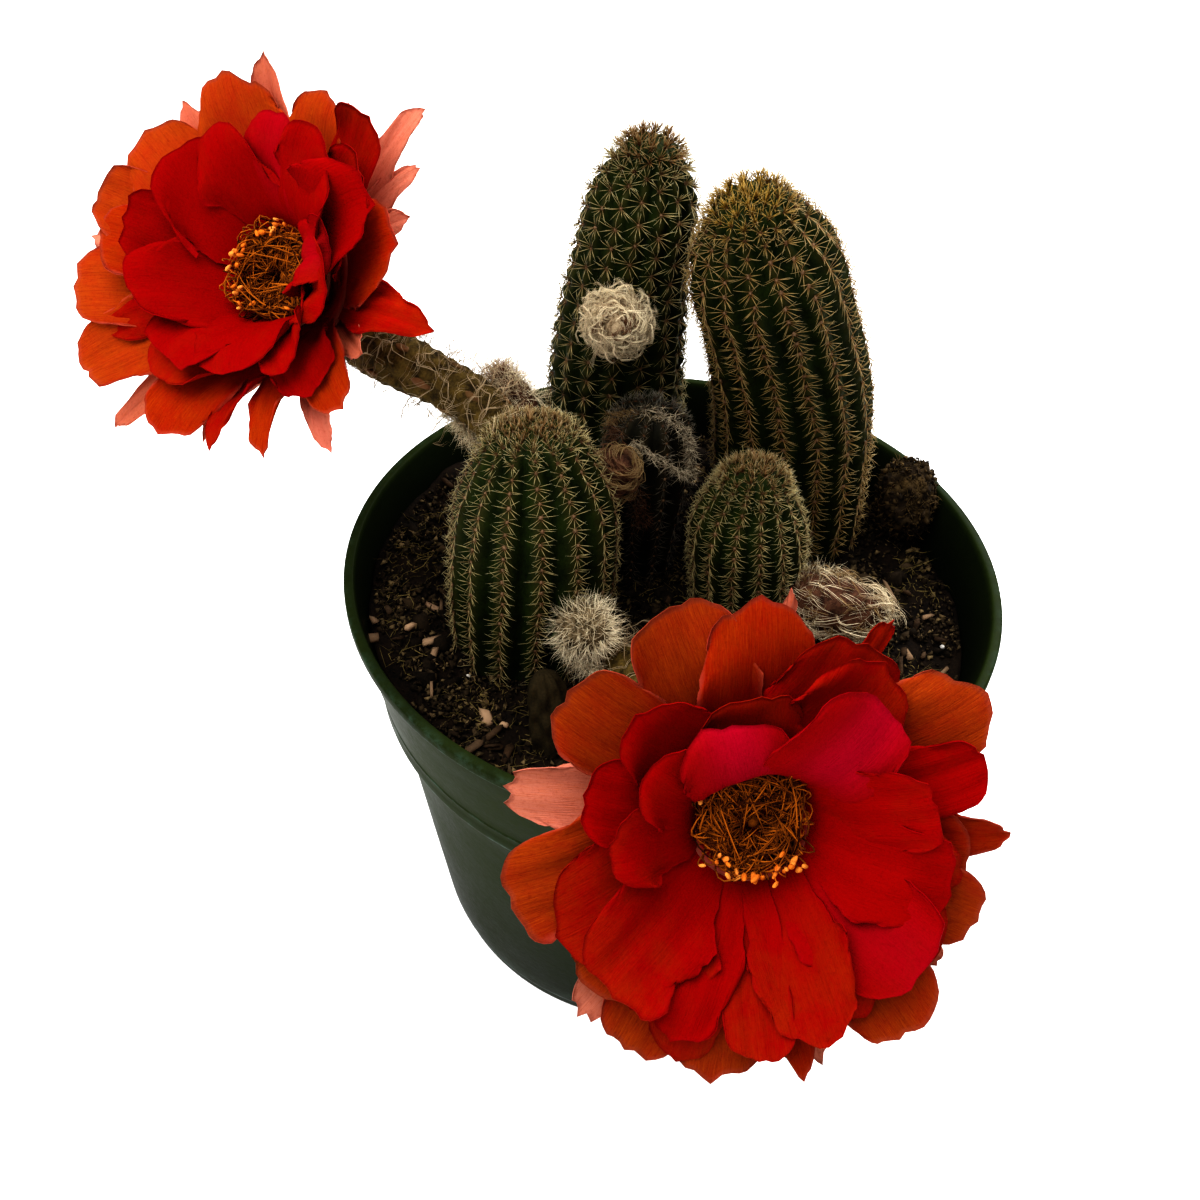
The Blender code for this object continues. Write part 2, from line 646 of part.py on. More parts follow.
def addTufts(body, name, route, count, rng, low=0.42, high=1.0, length=TUFT_LENGTH):
    # Pointed tufts of wool that swirl round the body towards its tip, on a golden-angle spiral.
    tufts = newCollection(name + "_tufts")
    frames = ringFrames(route)
    last = len(route) - 1
    for index in range(count):
        along = low + (high - low) * (index + 0.5) / count
        ring = min(int(along * last), last - 1)
        t = along * last - ring
        centre = route[ring][0].lerp(route[ring + 1][0], t)
        radius = route[ring][1] * (1 - t) + route[ring + 1][1] * t
        side, front, forward = frames[ring]
        angle = index * math.radians(137.5)
        outward = side * math.cos(angle) + front * math.sin(angle)
        around = forward.cross(outward)
        aim = (outward * 0.75 + around * rng.uniform(0.3, 0.8) + forward * rng.uniform(0.3, 0.7)).normalized()
        surface = centre + outward * radius * 0.96
        tip = surface + aim * length * rng.uniform(0.75, 1.0)
        if isClear(surface, tip, name, 0.8) and tip.z > floorUnder(tip) + 1.5:
            cone("tuft", surface - aim * 1.2, tip, TUFT_ROOT, 3, tufts)
    joinAll(body, tufts)


# Blooms

def bloomFrame(spec):
    faces = Vector(spec["faces"]).normalized()
    right = Vector((0, 0, 1)).cross(faces).normalized()
    up = faces.cross(right)
    frame = Matrix((right, up, faces)).transposed().to_4x4()
    return Matrix.Translation(Vector(spec["centre"]) * MM) @ frame


def petalWidth(s, pointed):
    # Half width along the blade, as a share of the widest place.
    if pointed:
        return 0.62 + 0.38 * math.sin(math.pi * min(s * 1.15, 1.0)) - 0.40 * s ** 4
    return 0.42 + 0.62 * math.sin(math.pi * min(s * 0.72, 1.0)) - 0.20 * s ** 6


def petalPoint(u, s, row, reach, phase):
    # u runs across the blade from -1 to 1, s along it from its foot to its tip.
    baseReach, baseHeight = row["base"]
    span = reach - baseReach
    half = row["half"] * petalWidth(s, row["pointed"])
    shorten = (0.04 if row["pointed"] else 0.14) * s ** 3 * u * u
    along = baseReach + span * (s - shorten)
    height = baseHeight + (row["tip"] - baseHeight) * (1 - (1 - s) ** row["curl"])
    lift = row["cup"] * half * u * u
    lean = math.sin(math.radians(row["twist"])) * half * u
    wave = row["wave"] * s * s * math.sin(2.6 * math.pi * s + phase + 1.9 * u) * (0.35 + 0.65 * abs(u))
    return Vector((along, half * u, height + lift + lean + wave))


def buildPetals(name, cupProfile, spec, rows, slot, rng):
    body = turned(name, cupProfile, CUP_STEPS, PARTS)
    petals = newCollection(name + "_petals")
    for rowName in rows:
        row = PETAL_ROWS[rowName]
        for azimuth, reach in spec[rowName]:
            phase = rng.uniform(0, 2 * math.pi)
            bm = bmesh.new()
            bmesh.ops.create_grid(bm, x_segments=row["across"], y_segments=row["along"], size=1.0)
            for vert in bm.verts:
                along = 1 - ((1 - vert.co.y) / 2) ** 1.4
                vert.co = petalPoint(vert.co.x, along, row, reach, phase)
            bmesh.ops.rotate(bm, matrix=Matrix.Rotation(math.radians(azimuth), 3, "Z"), verts=bm.verts[:])
            bmesh.ops.triangulate(bm, faces=bm.faces[:])
            bmesh.ops.recalc_face_normals(bm, faces=bm.faces[:])
            mesh = bpy.data.meshes.new("petal")
            bm.to_mesh(mesh)
            bm.free()
            petal = objectFrom(mesh, "petal", petals)
            shell = petal.modifiers.new("blade", "SOLIDIFY")
            shell.thickness = PETAL_THICKNESS * MM
            shell.offset = 0.0
            settle(petal)
    joinAll(body, petals)
    body.data.transform(bloomFrame(spec))
    finish(body, slot)


def buildStamens(name, spec, rng):
    # A sheaf of filaments that fans out of the throat, each with its anther, round a short style.
    body = turned(name, STAMEN_BASE, 12, PARTS)
    sheaf = newCollection(name + "_sheaf")
    for index in range(STAMEN_COUNT):
        angle = index * math.radians(137.5)
        spread = 0.55 + 0.45 * math.sqrt((index + 0.5) / STAMEN_COUNT)
        foot = Vector((STAMEN_FOOT[0] * spread, 0, STAMEN_FOOT[1]))
        tip = Vector((STAMEN_TIP[0] * spread, 0, STAMEN_TIP[1] + (1 - spread) * 3 + rng.uniform(-0.3, 0.6)))
        turn = Matrix.Rotation(angle, 3, "Z")
        cone("filament", turn @ foot, turn @ (tip + (tip - foot) * 0.25), 0.5, 3, sheaf)
        bm = bmesh.new()
        bmesh.ops.create_uvsphere(bm, u_segments=4, v_segments=2, radius=0.85)
        place = Matrix.Rotation(angle, 4, "Z") @ Matrix.Translation(tip) @ Matrix.Diagonal((0.8, 0.8, 1.3, 1.0))
        bmesh.ops.transform(bm, matrix=place, verts=bm.verts[:])
        objectFrom(meshFrom(bm, "anther"), "anther", sheaf)
    cone("style", Vector((0, 0, -9.2)), Vector((0, 0, -1.6)), 1.3, 6, sheaf)
    joinAll(body, sheaf)
    body.data.transform(bloomFrame(spec))
    finish(body, "stamens")


def buildTube(name, spec, rng):
    # The scaly tube that carries a bloom: from its seat in the stem to a flat end under the cup.
    faces = Vector(spec["faces"]).normalized()
    end = Vector(spec["centre"]) + faces * (OUTER_CUP[-1][1] - GAP)
    route = smoothRoute(spec["tube"] + [(*(end - faces * TUBE_STRAIGHT), TUBE_NECK)], 8)
    route += [(end - faces * TUBE_STRAIGHT * 0.4, TUBE_NECK + 0.4), (end, TUBE_NECK + 0.6)]
    tube = objectFrom(sweptBody(name, route, TUBE_SIDES), name, PARTS)
    addTufts(tube, name, route[:-1], TUBE_SCALES, rng, low=0.28, high=0.70, length=2.6)
    finish(tube, "tube_skin")


def buildBlooms():
    for name, spec in BLOOMS.items():
        rng = random.Random(SEED + len(name))
        buildTube(name + "_tube", spec, rng)
        buildPetals(name + "_outer_petals", OUTER_CUP, spec, ("sepals", "outer", "middle"), "petal_orange", rng)
        buildPetals(name + "_inner_petals", INNER_CUP, spec, ("inner",), "petal_crimson", rng)
        buildStamens(name + "_stamens", spec, rng)


buildPot()
buildSoil()
buildClump()
buildStub()
buildStems()
buildBuds()
buildBlooms()
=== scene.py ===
# Potted peanut cactus: the looks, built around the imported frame. Lengths below are in millimetres.
import math

import bmesh
import bpy
import numpy as np
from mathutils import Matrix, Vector, noise


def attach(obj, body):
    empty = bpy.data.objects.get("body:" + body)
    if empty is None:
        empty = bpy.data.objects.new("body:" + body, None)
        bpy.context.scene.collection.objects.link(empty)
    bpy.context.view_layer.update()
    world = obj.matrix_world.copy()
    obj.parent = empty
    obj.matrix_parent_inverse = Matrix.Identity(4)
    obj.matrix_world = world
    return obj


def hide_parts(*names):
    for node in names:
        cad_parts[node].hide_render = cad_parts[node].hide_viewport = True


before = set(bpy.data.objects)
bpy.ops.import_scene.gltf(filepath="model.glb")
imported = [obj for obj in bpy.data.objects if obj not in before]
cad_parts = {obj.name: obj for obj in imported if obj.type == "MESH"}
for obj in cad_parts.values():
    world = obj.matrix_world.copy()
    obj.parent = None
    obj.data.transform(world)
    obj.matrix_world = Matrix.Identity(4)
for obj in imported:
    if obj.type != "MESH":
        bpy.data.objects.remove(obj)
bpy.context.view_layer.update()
mm = 0.001
fullTurn = 2 * math.pi
goldenTurn = math.radians(137.5)


# Small helpers for points, meshes and pieces

def unit(vectors):
    return vectors / np.maximum(np.linalg.norm(vectors, axis=-1, keepdims=True), 1e-9)


def dot(a, b):
    return np.sum(a * b, axis=-1, keepdims=True)


def blendIn(value, low, high):
    # 0 below low, 1 above high, smooth between
    t = np.clip((value - low) / (high - low), 0, 1)
    return t * t * (3 - 2 * t)


def gridFaces(rows, columns, closed):
    # quads over a (rows x columns) lattice of points, the last column joined to the first when closed
    across = columns if closed else columns - 1
    row, column = np.meshgrid(np.arange(rows - 1), np.arange(across), indexing="ij")
    beside = (column + 1) % columns
    quads = np.stack([row * columns + column, row * columns + beside,
                      (row + 1) * columns + beside, (row + 1) * columns + column], -1)
    return quads.reshape(-1, 4)


def capFaces(ring, closing, flip=False):
    # a fan of triangles from a ring of points to one point
    after = np.roll(ring, -1)
    fan = np.stack([ring, after, np.full(len(ring), closing)], -1)
    return fan[:, ::-1] if flip else fan


def addPiece(name, points, faceSets, material, replaced=(), fields=None, smooth=True):
    mesh = bpy.data.meshes.new(name)
    corners = np.concatenate([faces.ravel() for faces in faceSets])
    sizes = np.concatenate([np.full(len(faces), faces.shape[1]) for faces in faceSets])
    mesh.vertices.add(len(points))
    mesh.vertices.foreach_set("co", (np.asarray(points) * mm).astype(np.float32).ravel())
    mesh.loops.add(len(corners))
    mesh.loops.foreach_set("vertex_index", corners.astype(np.int32))
    mesh.polygons.add(len(sizes))
    mesh.polygons.foreach_set("loop_start", (np.cumsum(sizes) - sizes).astype(np.int32))
    mesh.update(calc_edges=True)
    for field, values in (fields or {}).items():
        layer = mesh.attributes.new(field, "FLOAT", "POINT")
        layer.data.foreach_set("value", np.asarray(values, np.float32).ravel())
    mesh.materials.append(material)
    if smooth:
        mesh.shade_smooth()
    piece = bpy.data.objects.new(name, mesh)
    bpy.context.scene.collection.objects.link(piece)
    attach(piece, "root")
    if replaced:
        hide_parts(*replaced)
    return piece


def strandTubes(paths, radii, sides=3):
    # tubes along many paths at once, each drawn to a point; paths are (strand, point, xyz)
    count, points, _ = paths.shape
    forward = unit(np.gradient(paths, axis=1))
    upright = np.abs(forward[:, 0, 2:3]) > 0.8
    side = np.cross(forward[:, 0], np.where(upright, [[1.0, 0, 0]], [[0, 0, 1.0]]))
    rings = np.empty((count, points - 1, sides, 3))
    for p in range(points - 1):
        side = unit(side - forward[:, p] * dot(side, forward[:, p]))
        front = np.cross(forward[:, p], side)
        for c in range(sides):
            turn = fullTurn * c / sides
            spoke = math.cos(turn) * side + math.sin(turn) * front
            rings[:, p, c] = paths[:, p] + radii[:, p, None] * spoke
    each = (points - 1) * sides + 1
    corners = np.concatenate([rings.reshape(count, -1, 3), paths[:, -1:]], axis=1)
    first = np.arange(count)[:, None, None] * each
    walls = (first + gridFaces(points - 1, sides, True)[None]).reshape(-1, 4)
    last = (points - 2) * sides + np.arange(sides)
    fan = np.column_stack([last, np.roll(last, -1), np.full(sides, each - 1)])
    tips = (first + fan[None]).reshape(-1, 3)
    base = first[:, 0] + np.arange(sides)[None, ::-1]
    along = np.tile(np.append(np.repeat(np.linspace(0, 1, points)[:-1], sides), 1), count)
    return corners.reshape(-1, 3), [walls, tips, base], along, np.repeat(np.arange(count), each)


def scatter(shape, places, turns, sizes, rough, rng):
    # copies of one small shape, each turned, sized and roughened its own way
    corners, faces = shape
    count = len(places)
    bumpy = corners[None] * (1 + rng.uniform(-rough, rough, (count, len(corners), 1)))
    points = np.einsum("nij,nmj->nmi", turns, bumpy * sizes[:, None]) + places[:, None]
    first = np.arange(count)[:, None, None] * len(corners)
    owner = np.repeat(np.arange(count), len(corners))
    return points.reshape(-1, 3), (first + faces[None]).reshape(-1, faces.shape[1]), owner


def addStrands(name, tubes, material, tint):
    # a piece from what strandTubes returns, with one tint for each strand
    points, faces, along, strand = tubes
    addPiece(name, points, faces, material, fields={"along": along, "tint": tint[strand]})


def strandCount(tubes):
    return tubes[3][-1] + 1


def addBits(name, bits, material, tint, smooth=False):
    # a piece from what scatter returns, with one tint for each copy
    points, triangles, owner = bits
    addPiece(name, points, [triangles], material, fields={"tint": tint[owner]}, smooth=smooth)


def ballShape(detail):
    bm = bmesh.new()
    bmesh.ops.create_icosphere(bm, subdivisions=detail, radius=1.0)
    corners = np.array([vert.co for vert in bm.verts])
    faces = np.array([[vert.index for vert in face.verts] for face in bm.faces])
    bm.free()
    return corners, faces


octahedron = (np.vstack([np.eye(3), -np.eye(3)]),
              np.array([[0, 1, 2], [1, 3, 2], [3, 4, 2], [4, 0, 2],
                        [1, 0, 5], [3, 1, 5], [4, 3, 5], [0, 4, 5]]))
tetrahedron = (0.85 * np.array([[1, 1, 1], [-1, -1, 1], [-1, 1, -1], [1, -1, -1]]),
               np.array([[0, 2, 1], [0, 1, 3], [0, 3, 2], [1, 2, 3]]))


def randomTurns(count, rng):
    q = unit(rng.normal(size=(count, 4)))
    w, x, y, z = q.T
    rows = [[1 - 2 * (y * y + z * z), 2 * (x * y - w * z), 2 * (x * z + w * y)],
            [2 * (x * y + w * z), 1 - 2 * (x * x + z * z), 2 * (y * z - w * x)],
            [2 * (x * z - w * y), 2 * (y * z + w * x), 1 - 2 * (x * x + y * y)]]
    return np.moveaxis(np.array(rows), -1, 0)


def turnsFacing(normals, spin):
    # turns whose Z is the normal, spun about it
    start = np.where(np.abs(normals[:, 2:3]) > 0.9, [[1.0, 0, 0]], [[0, 0, 1.0]])
    side = unit(np.cross(start, normals))
    front = np.cross(normals, side)
    x = side * np.cos(spin)[:, None] + front * np.sin(spin)[:, None]
    return np.stack([x, np.cross(normals, x), normals], -1)


def smoothRoute(points, count):
    # even steps along a Catmull-Rom curve through (x, y, z, radius) points
    points = np.array(points, float)
    spans = len(points) - 1
    along = np.linspace(0, spans, count + 1)
    span = np.minimum(along.astype(int), spans - 1)
    t = (along - span)[:, None]
    ends = [points[np.clip(span + step, 0, spans)] for step in (-1, 0, 1, 2)]
    mix = (-0.5 * t + t * t - 0.5 * t ** 3, 1 - 2.5 * t * t + 1.5 * t ** 3,
           0.5 * t + 2 * t * t - 1.5 * t ** 3, -0.5 * t * t + 0.5 * t ** 3)
    return sum(weight * end for weight, end in zip(mix, ends))


def skinOf(route, step):
    # the surface round a route, with rings an even step apart over its surface
    moved = np.diff(route, axis=0)
    arc = np.concatenate([[0], np.cumsum(np.hypot(np.linalg.norm(moved[:, :3], axis=1), moved[:, 3]))])
    even = np.linspace(0, arc[-1], max(int(arc[-1] / step), 6) + 1)
    route = np.column_stack([np.interp(even, arc, route[:, axis]) for axis in range(4)])
    forward = unit(np.gradient(route[:, :3], axis=0))
    forward[-1] = forward[-2]
    side = np.array([1.0, 0, 0])
    sides = np.empty_like(forward)
    for ring, way in enumerate(forward):
        side = unit(side - way * np.dot(side, way))
        sides[ring] = side
    return {"arc": even, "centre": route[:, :3], "radius": np.maximum(route[:, 3], 0.0), "side": sides,
            "front": np.cross(forward, sides), "forward": forward, "slope": np.gradient(route[:, 3], even)}


def onSkin(skin, arc, angle):
    # place, outward normal, way round and way up the surface, at each (arc, angle)
    def read(key):
        values = skin[key]
        if values.ndim == 1:
            return np.interp(arc, skin["arc"], values)[:, None]
        return np.column_stack([np.interp(arc, skin["arc"], values[:, axis]) for axis in range(3)])

    outward = unit(read("side") * np.cos(angle)[:, None] + read("front") * np.sin(angle)[:, None])
    forward = unit(read("forward"))
    slope = np.clip(read("slope"), -0.98, 0.98)
    upward = unit(forward * np.sqrt(1 - slope ** 2) + outward * slope)
    around = unit(np.cross(forward, outward))
    return read("centre") + outward * read("radius"), unit(np.cross(around, upward)), around, upward


def ringedPoints(skin, columns, shape):
    # rings of points over a skin; shape(ring arc, angle) scales the radius
    angle = fullTurn * np.arange(columns) / columns
    outward = (skin["side"][:, None] * np.cos(angle)[None, :, None]
               + skin["front"][:, None] * np.sin(angle)[None, :, None])
    reach = skin["radius"][:, None] * shape(skin["arc"][:, None], angle[None])
    return skin["centre"][:, None] + outward * reach[..., None], angle


def closedBody(points):
    # closes stacked rings with a point at each end
    rings, columns, _ = points.shape
    flat = np.vstack([points.reshape(-1, 3), points[0].mean(0), points[-1].mean(0)])
    low = np.arange(columns)
    high = low + (rings - 1) * columns
    faces = [gridFaces(rings, columns, True), capFaces(low, rings * columns, True),
             capFaces(high, rings * columns + 1)]
    return flat, faces


# Shader groups that more than one material uses

def newGroup(name, inputs, outputs):
    group = bpy.data.node_groups.new(name, "ShaderNodeTree")
    for label, kind, value in inputs:
        socket = group.interface.new_socket(label, in_out="INPUT", socket_type=kind)
        socket.default_value = value
    for label, kind in outputs:
        group.interface.new_socket(label, in_out="OUTPUT", socket_type=kind)
    return group, group.nodes.new("NodeGroupInput"), group.nodes.new("NodeGroupOutput")


def feed(tree, socket, value):
    # another node's output is linked, anything else is the socket's own constant
    if isinstance(value, bpy.types.NodeSocket):
        tree.links.new(value, socket)
    else:
        socket.default_value = (*value, 1.0) if socket.type == "RGBA" else value


def addNode(tree, kind, settings=None, **values):
    node = tree.nodes.new(kind)
    for key, value in (settings or {}).items():
        setattr(node, key, value)
    for key, value in values.items():
        feed(tree, node.inputs[int(key[2:]) if key.startswith("in") else key], value)
    return node


def field(tree, name):
    return addNode(tree, "ShaderNodeAttribute", {"attribute_name": name}).outputs["Fac"]


def mixColour(tree, factor, first, second, how="MIX"):
    settings = {"data_type": "RGBA", "blend_type": how}
    return addNode(tree, "ShaderNodeMix", settings, in0=factor, in6=first, in7=second).outputs[2]


def maths(tree, how, first, second=0.0, clamp=False):
    settings = {"operation": how, "use_clamp": clamp}
    return addNode(tree, "ShaderNodeMath", settings, in0=first, in1=second).outputs[0]


def times(tree, first, second, clamp=False):
    return maths(tree, "MULTIPLY", first, second, clamp)


def rampUp(tree, value, start, gain):
    # 0 up to the start, then rising by the gain until it reaches 1
    return times(tree, maths(tree, "SUBTRACT", value, start), gain, clamp=True)


def noiseOn(tree, place, scale, detail, roughness):
    node = addNode(tree, "ShaderNodeTexNoise", Vector=place, Scale=scale, Detail=detail, Roughness=roughness)
    return node.outputs["Fac"]


def mottleGroup():
    # soft patches of two colours with a fine grain, for skin, plastic, soil and bark
    group, given, out = newGroup(
        "mottle",
        [("Dark", "NodeSocketColor", (0, 0, 0, 1)), ("Light", "NodeSocketColor", (1, 1, 1, 1)),
         ("Patch Scale", "NodeSocketFloat", 120.0), ("Grain Scale", "NodeSocketFloat", 900.0),
         ("Contrast", "NodeSocketFloat", 1.0)],
        [("Color", "NodeSocketColor"), ("Mask", "NodeSocketFloat"), ("Height", "NodeSocketFloat")])
    place = addNode(group, "ShaderNodeTexCoord").outputs["Object"]
    patch = noiseOn(group, place, given.outputs["Patch Scale"], 4.0, 0.6)
    grain = noiseOn(group, place, given.outputs["Grain Scale"], 3.0, 0.7)
    both = maths(group, "ADD", times(group, patch, 0.6), times(group, grain, 0.4))
    centred = times(group, maths(group, "SUBTRACT", both, 0.5), given.outputs["Contrast"])
    mask = maths(group, "ADD", times(group, centred, 3.0), 0.5, clamp=True)
    body = mixColour(group, mask, given.outputs["Dark"], given.outputs["Light"])
    group.links.new(body, out.inputs["Color"])
    group.links.new(mask, out.inputs["Mask"])
    group.links.new(both, out.inputs["Height"])
    return group


def strandGroup():
    # a strand's colour from its root to its tip, a little different on each one
    group, given, out = newGroup(
        "strandTint",
        [("Root", "NodeSocketColor", (0, 0, 0, 1)), ("Middle", "NodeSocketColor", (1, 1, 1, 1)),
         ("Tip", "NodeSocketColor", (1, 1, 1, 1)), ("Odd One", "NodeSocketColor", (1, 1, 1, 1)),
         ("Oddness", "NodeSocketFloat", 0.5)],
        [("Color", "NodeSocketColor")])
    along = field(group, "along")
    tint = field(group, "tint")
    lower = times(group, along, 3.0, clamp=True)
    upper = maths(group, "SUBTRACT", times(group, along, 3.0), 2.0, clamp=True)
    body = mixColour(group, lower, given.outputs["Root"], given.outputs["Middle"])
    body = mixColour(group, upper, body, given.outputs["Tip"])
    odd = times(group, tint, given.outputs["Oddness"])
    group.links.new(mixColour(group, odd, body, given.outputs["Odd One"]), out.inputs["Color"])
    return group


groups = {"mottle": mottleGroup(), "strandTint": strandGroup()}


def useGroup(tree, name, **values):
    node = addNode(tree, "ShaderNodeGroup", {"node_tree": groups[name]})
    for key, value in values.items():
        feed(tree, node.inputs[key.replace("_", " ")], value)
    return node


def newMaterial(name, roughness, specular):
    material = bpy.data.materials.new(name)
    material.use_nodes = True
    shader = material.node_tree.nodes["Principled BSDF"]
    shader.inputs["Roughness"].default_value = roughness
    shader.inputs["Specular IOR Level"].default_value = specular
    return material, material.node_tree, shader


def bumpTo(tree, shader, height, strength, distance):
    bump = addNode(tree, "ShaderNodeBump", Height=height, Strength=strength, Distance=distance)
    tree.links.new(bump.outputs["Normal"], shader.inputs["Normal"])


def colourTo(tree, shader, socket):
    tree.links.new(socket, shader.inputs["Base Color"])


# Finishes of the mottled materials. Where a finish names a field, a third colour lies over the mottle.
finishes = {
    "soil": {"roughness": 0.92, "specular": 0.10, "patch": 160.0, "grain": 1500.0, "contrast": 1.5,
             "bump": 0.70, "depth": 0.0006},
    "crumb": {"roughness": 0.90, "specular": 0.10, "patch": 420.0, "grain": 2200.0, "contrast": 1.3,
              "bump": 0.60, "depth": 0.0004, "field": "tint", "strength": 1.0},
    "skin": {"roughness": 0.60, "specular": 0.05, "patch": 220.0, "grain": 1800.0, "contrast": 1.0,
             "bump": 0.35, "depth": 0.0003, "field": "crest", "strength": 0.8},
    "bud": {"roughness": 0.80, "specular": 0.10, "patch": 500.0, "grain": 2500.0, "contrast": 1.6,
            "bump": 0.60, "depth": 0.0004},
}


def mottled(name, kind, dark, light, over=None, roughness=None):
    finish = finishes[kind]
    material, tree, shader = newMaterial(name, roughness or finish["roughness"], finish["specular"])
    mottle = useGroup(tree, "mottle", Dark=dark, Light=light, Patch_Scale=finish["patch"],
                      Grain_Scale=finish["grain"], Contrast=finish["contrast"])
    body = mottle.outputs["Color"]
    if over:
        body = mixColour(tree, times(tree, field(tree, finish["field"]), finish["strength"]), body, over)
    colourTo(tree, shader, body)
    bumpTo(tree, shader, mottle.outputs["Height"], finish["bump"], finish["depth"])
    return material


def strandMaterial(name, root, middle, tip, odd, oddness, roughness=0.85, specular=0.1):
    material, tree, shader = newMaterial(name, roughness, specular)
    tint = useGroup(tree, "strandTint", Root=root, Middle=middle, Tip=tip, Odd_One=odd, Oddness=oddness)
    colourTo(tree, shader, tint.outputs["Color"])
    return material


print("helpers ready")


# Pot: turned from a profile, with the lip's bead, the collar's step and drain holes in the base

# grubby is painted shade: the near-black laid over the pot's inner wall and floor
pot = {"height": 96.5, "lip": 63.5, "collarTop": 62.7, "collarFoot": 57.8, "ledge": 68.6, "bodyTop": 56.2,
       "base": 47.3, "wall": 1.4, "floor": 2.2, "lipWidth": 2.0, "recess": 1.2, "steps": 144,
       "drains": 5, "drainRadius": 4.0, "drainRing": 33.0,
       "dark": (0.012, 0.018, 0.006), "light": (0.020, 0.029, 0.007),
       "worn": (0.070, 0.125, 0.095), "grubby": (0.004, 0.006, 0.003), "footShade": (0.35, 0.38, 0.28)}


def potInside(height):
    if height >= pot["ledge"]:
        t = (height - pot["ledge"]) / (pot["height"] - pot["ledge"])
        return pot["collarFoot"] + (pot["collarTop"] - pot["collarFoot"]) * t - pot["wall"]
    return pot["base"] + (pot["bodyTop"] - pot["base"]) * height / pot["ledge"] - pot["wall"]


def potMaterial():
    material, tree, shader = newMaterial("potPlastic", 0.5, 0.02)
    mottle = useGroup(tree, "mottle", Dark=pot["dark"], Light=pot["light"], Patch_Scale=45.0,
                      Grain_Scale=700.0)
    scuffs = noiseOn(tree, addNode(tree, "ShaderNodeTexCoord").outputs["Object"], 260.0, 6.0, 0.75)
    bare = rampUp(tree, scuffs, 0.47, 6.0)
    rubbed = times(tree, bare, times(tree, field(tree, "edge"), 0.7), clamp=True)
    # painted shade: the inside of the pot is darkened towards near black, a little less near the lip
    body = mixColour(tree, field(tree, "inside"), mottle.outputs["Color"], pot["grubby"])
    body = mixColour(tree, times(tree, field(tree, "low"), 0.75), body, pot["footShade"], "MULTIPLY")
    body = mixColour(tree, rubbed, body, pot["worn"])
    colourTo(tree, shader, body)
    tree.links.new(maths(tree, "ADD", times(tree, mottle.outputs["Mask"], 0.16), 0.34),
                   shader.inputs["Roughness"])
    bumpTo(tree, shader, mottle.outputs["Height"], 0.25, 0.0004)
    return material


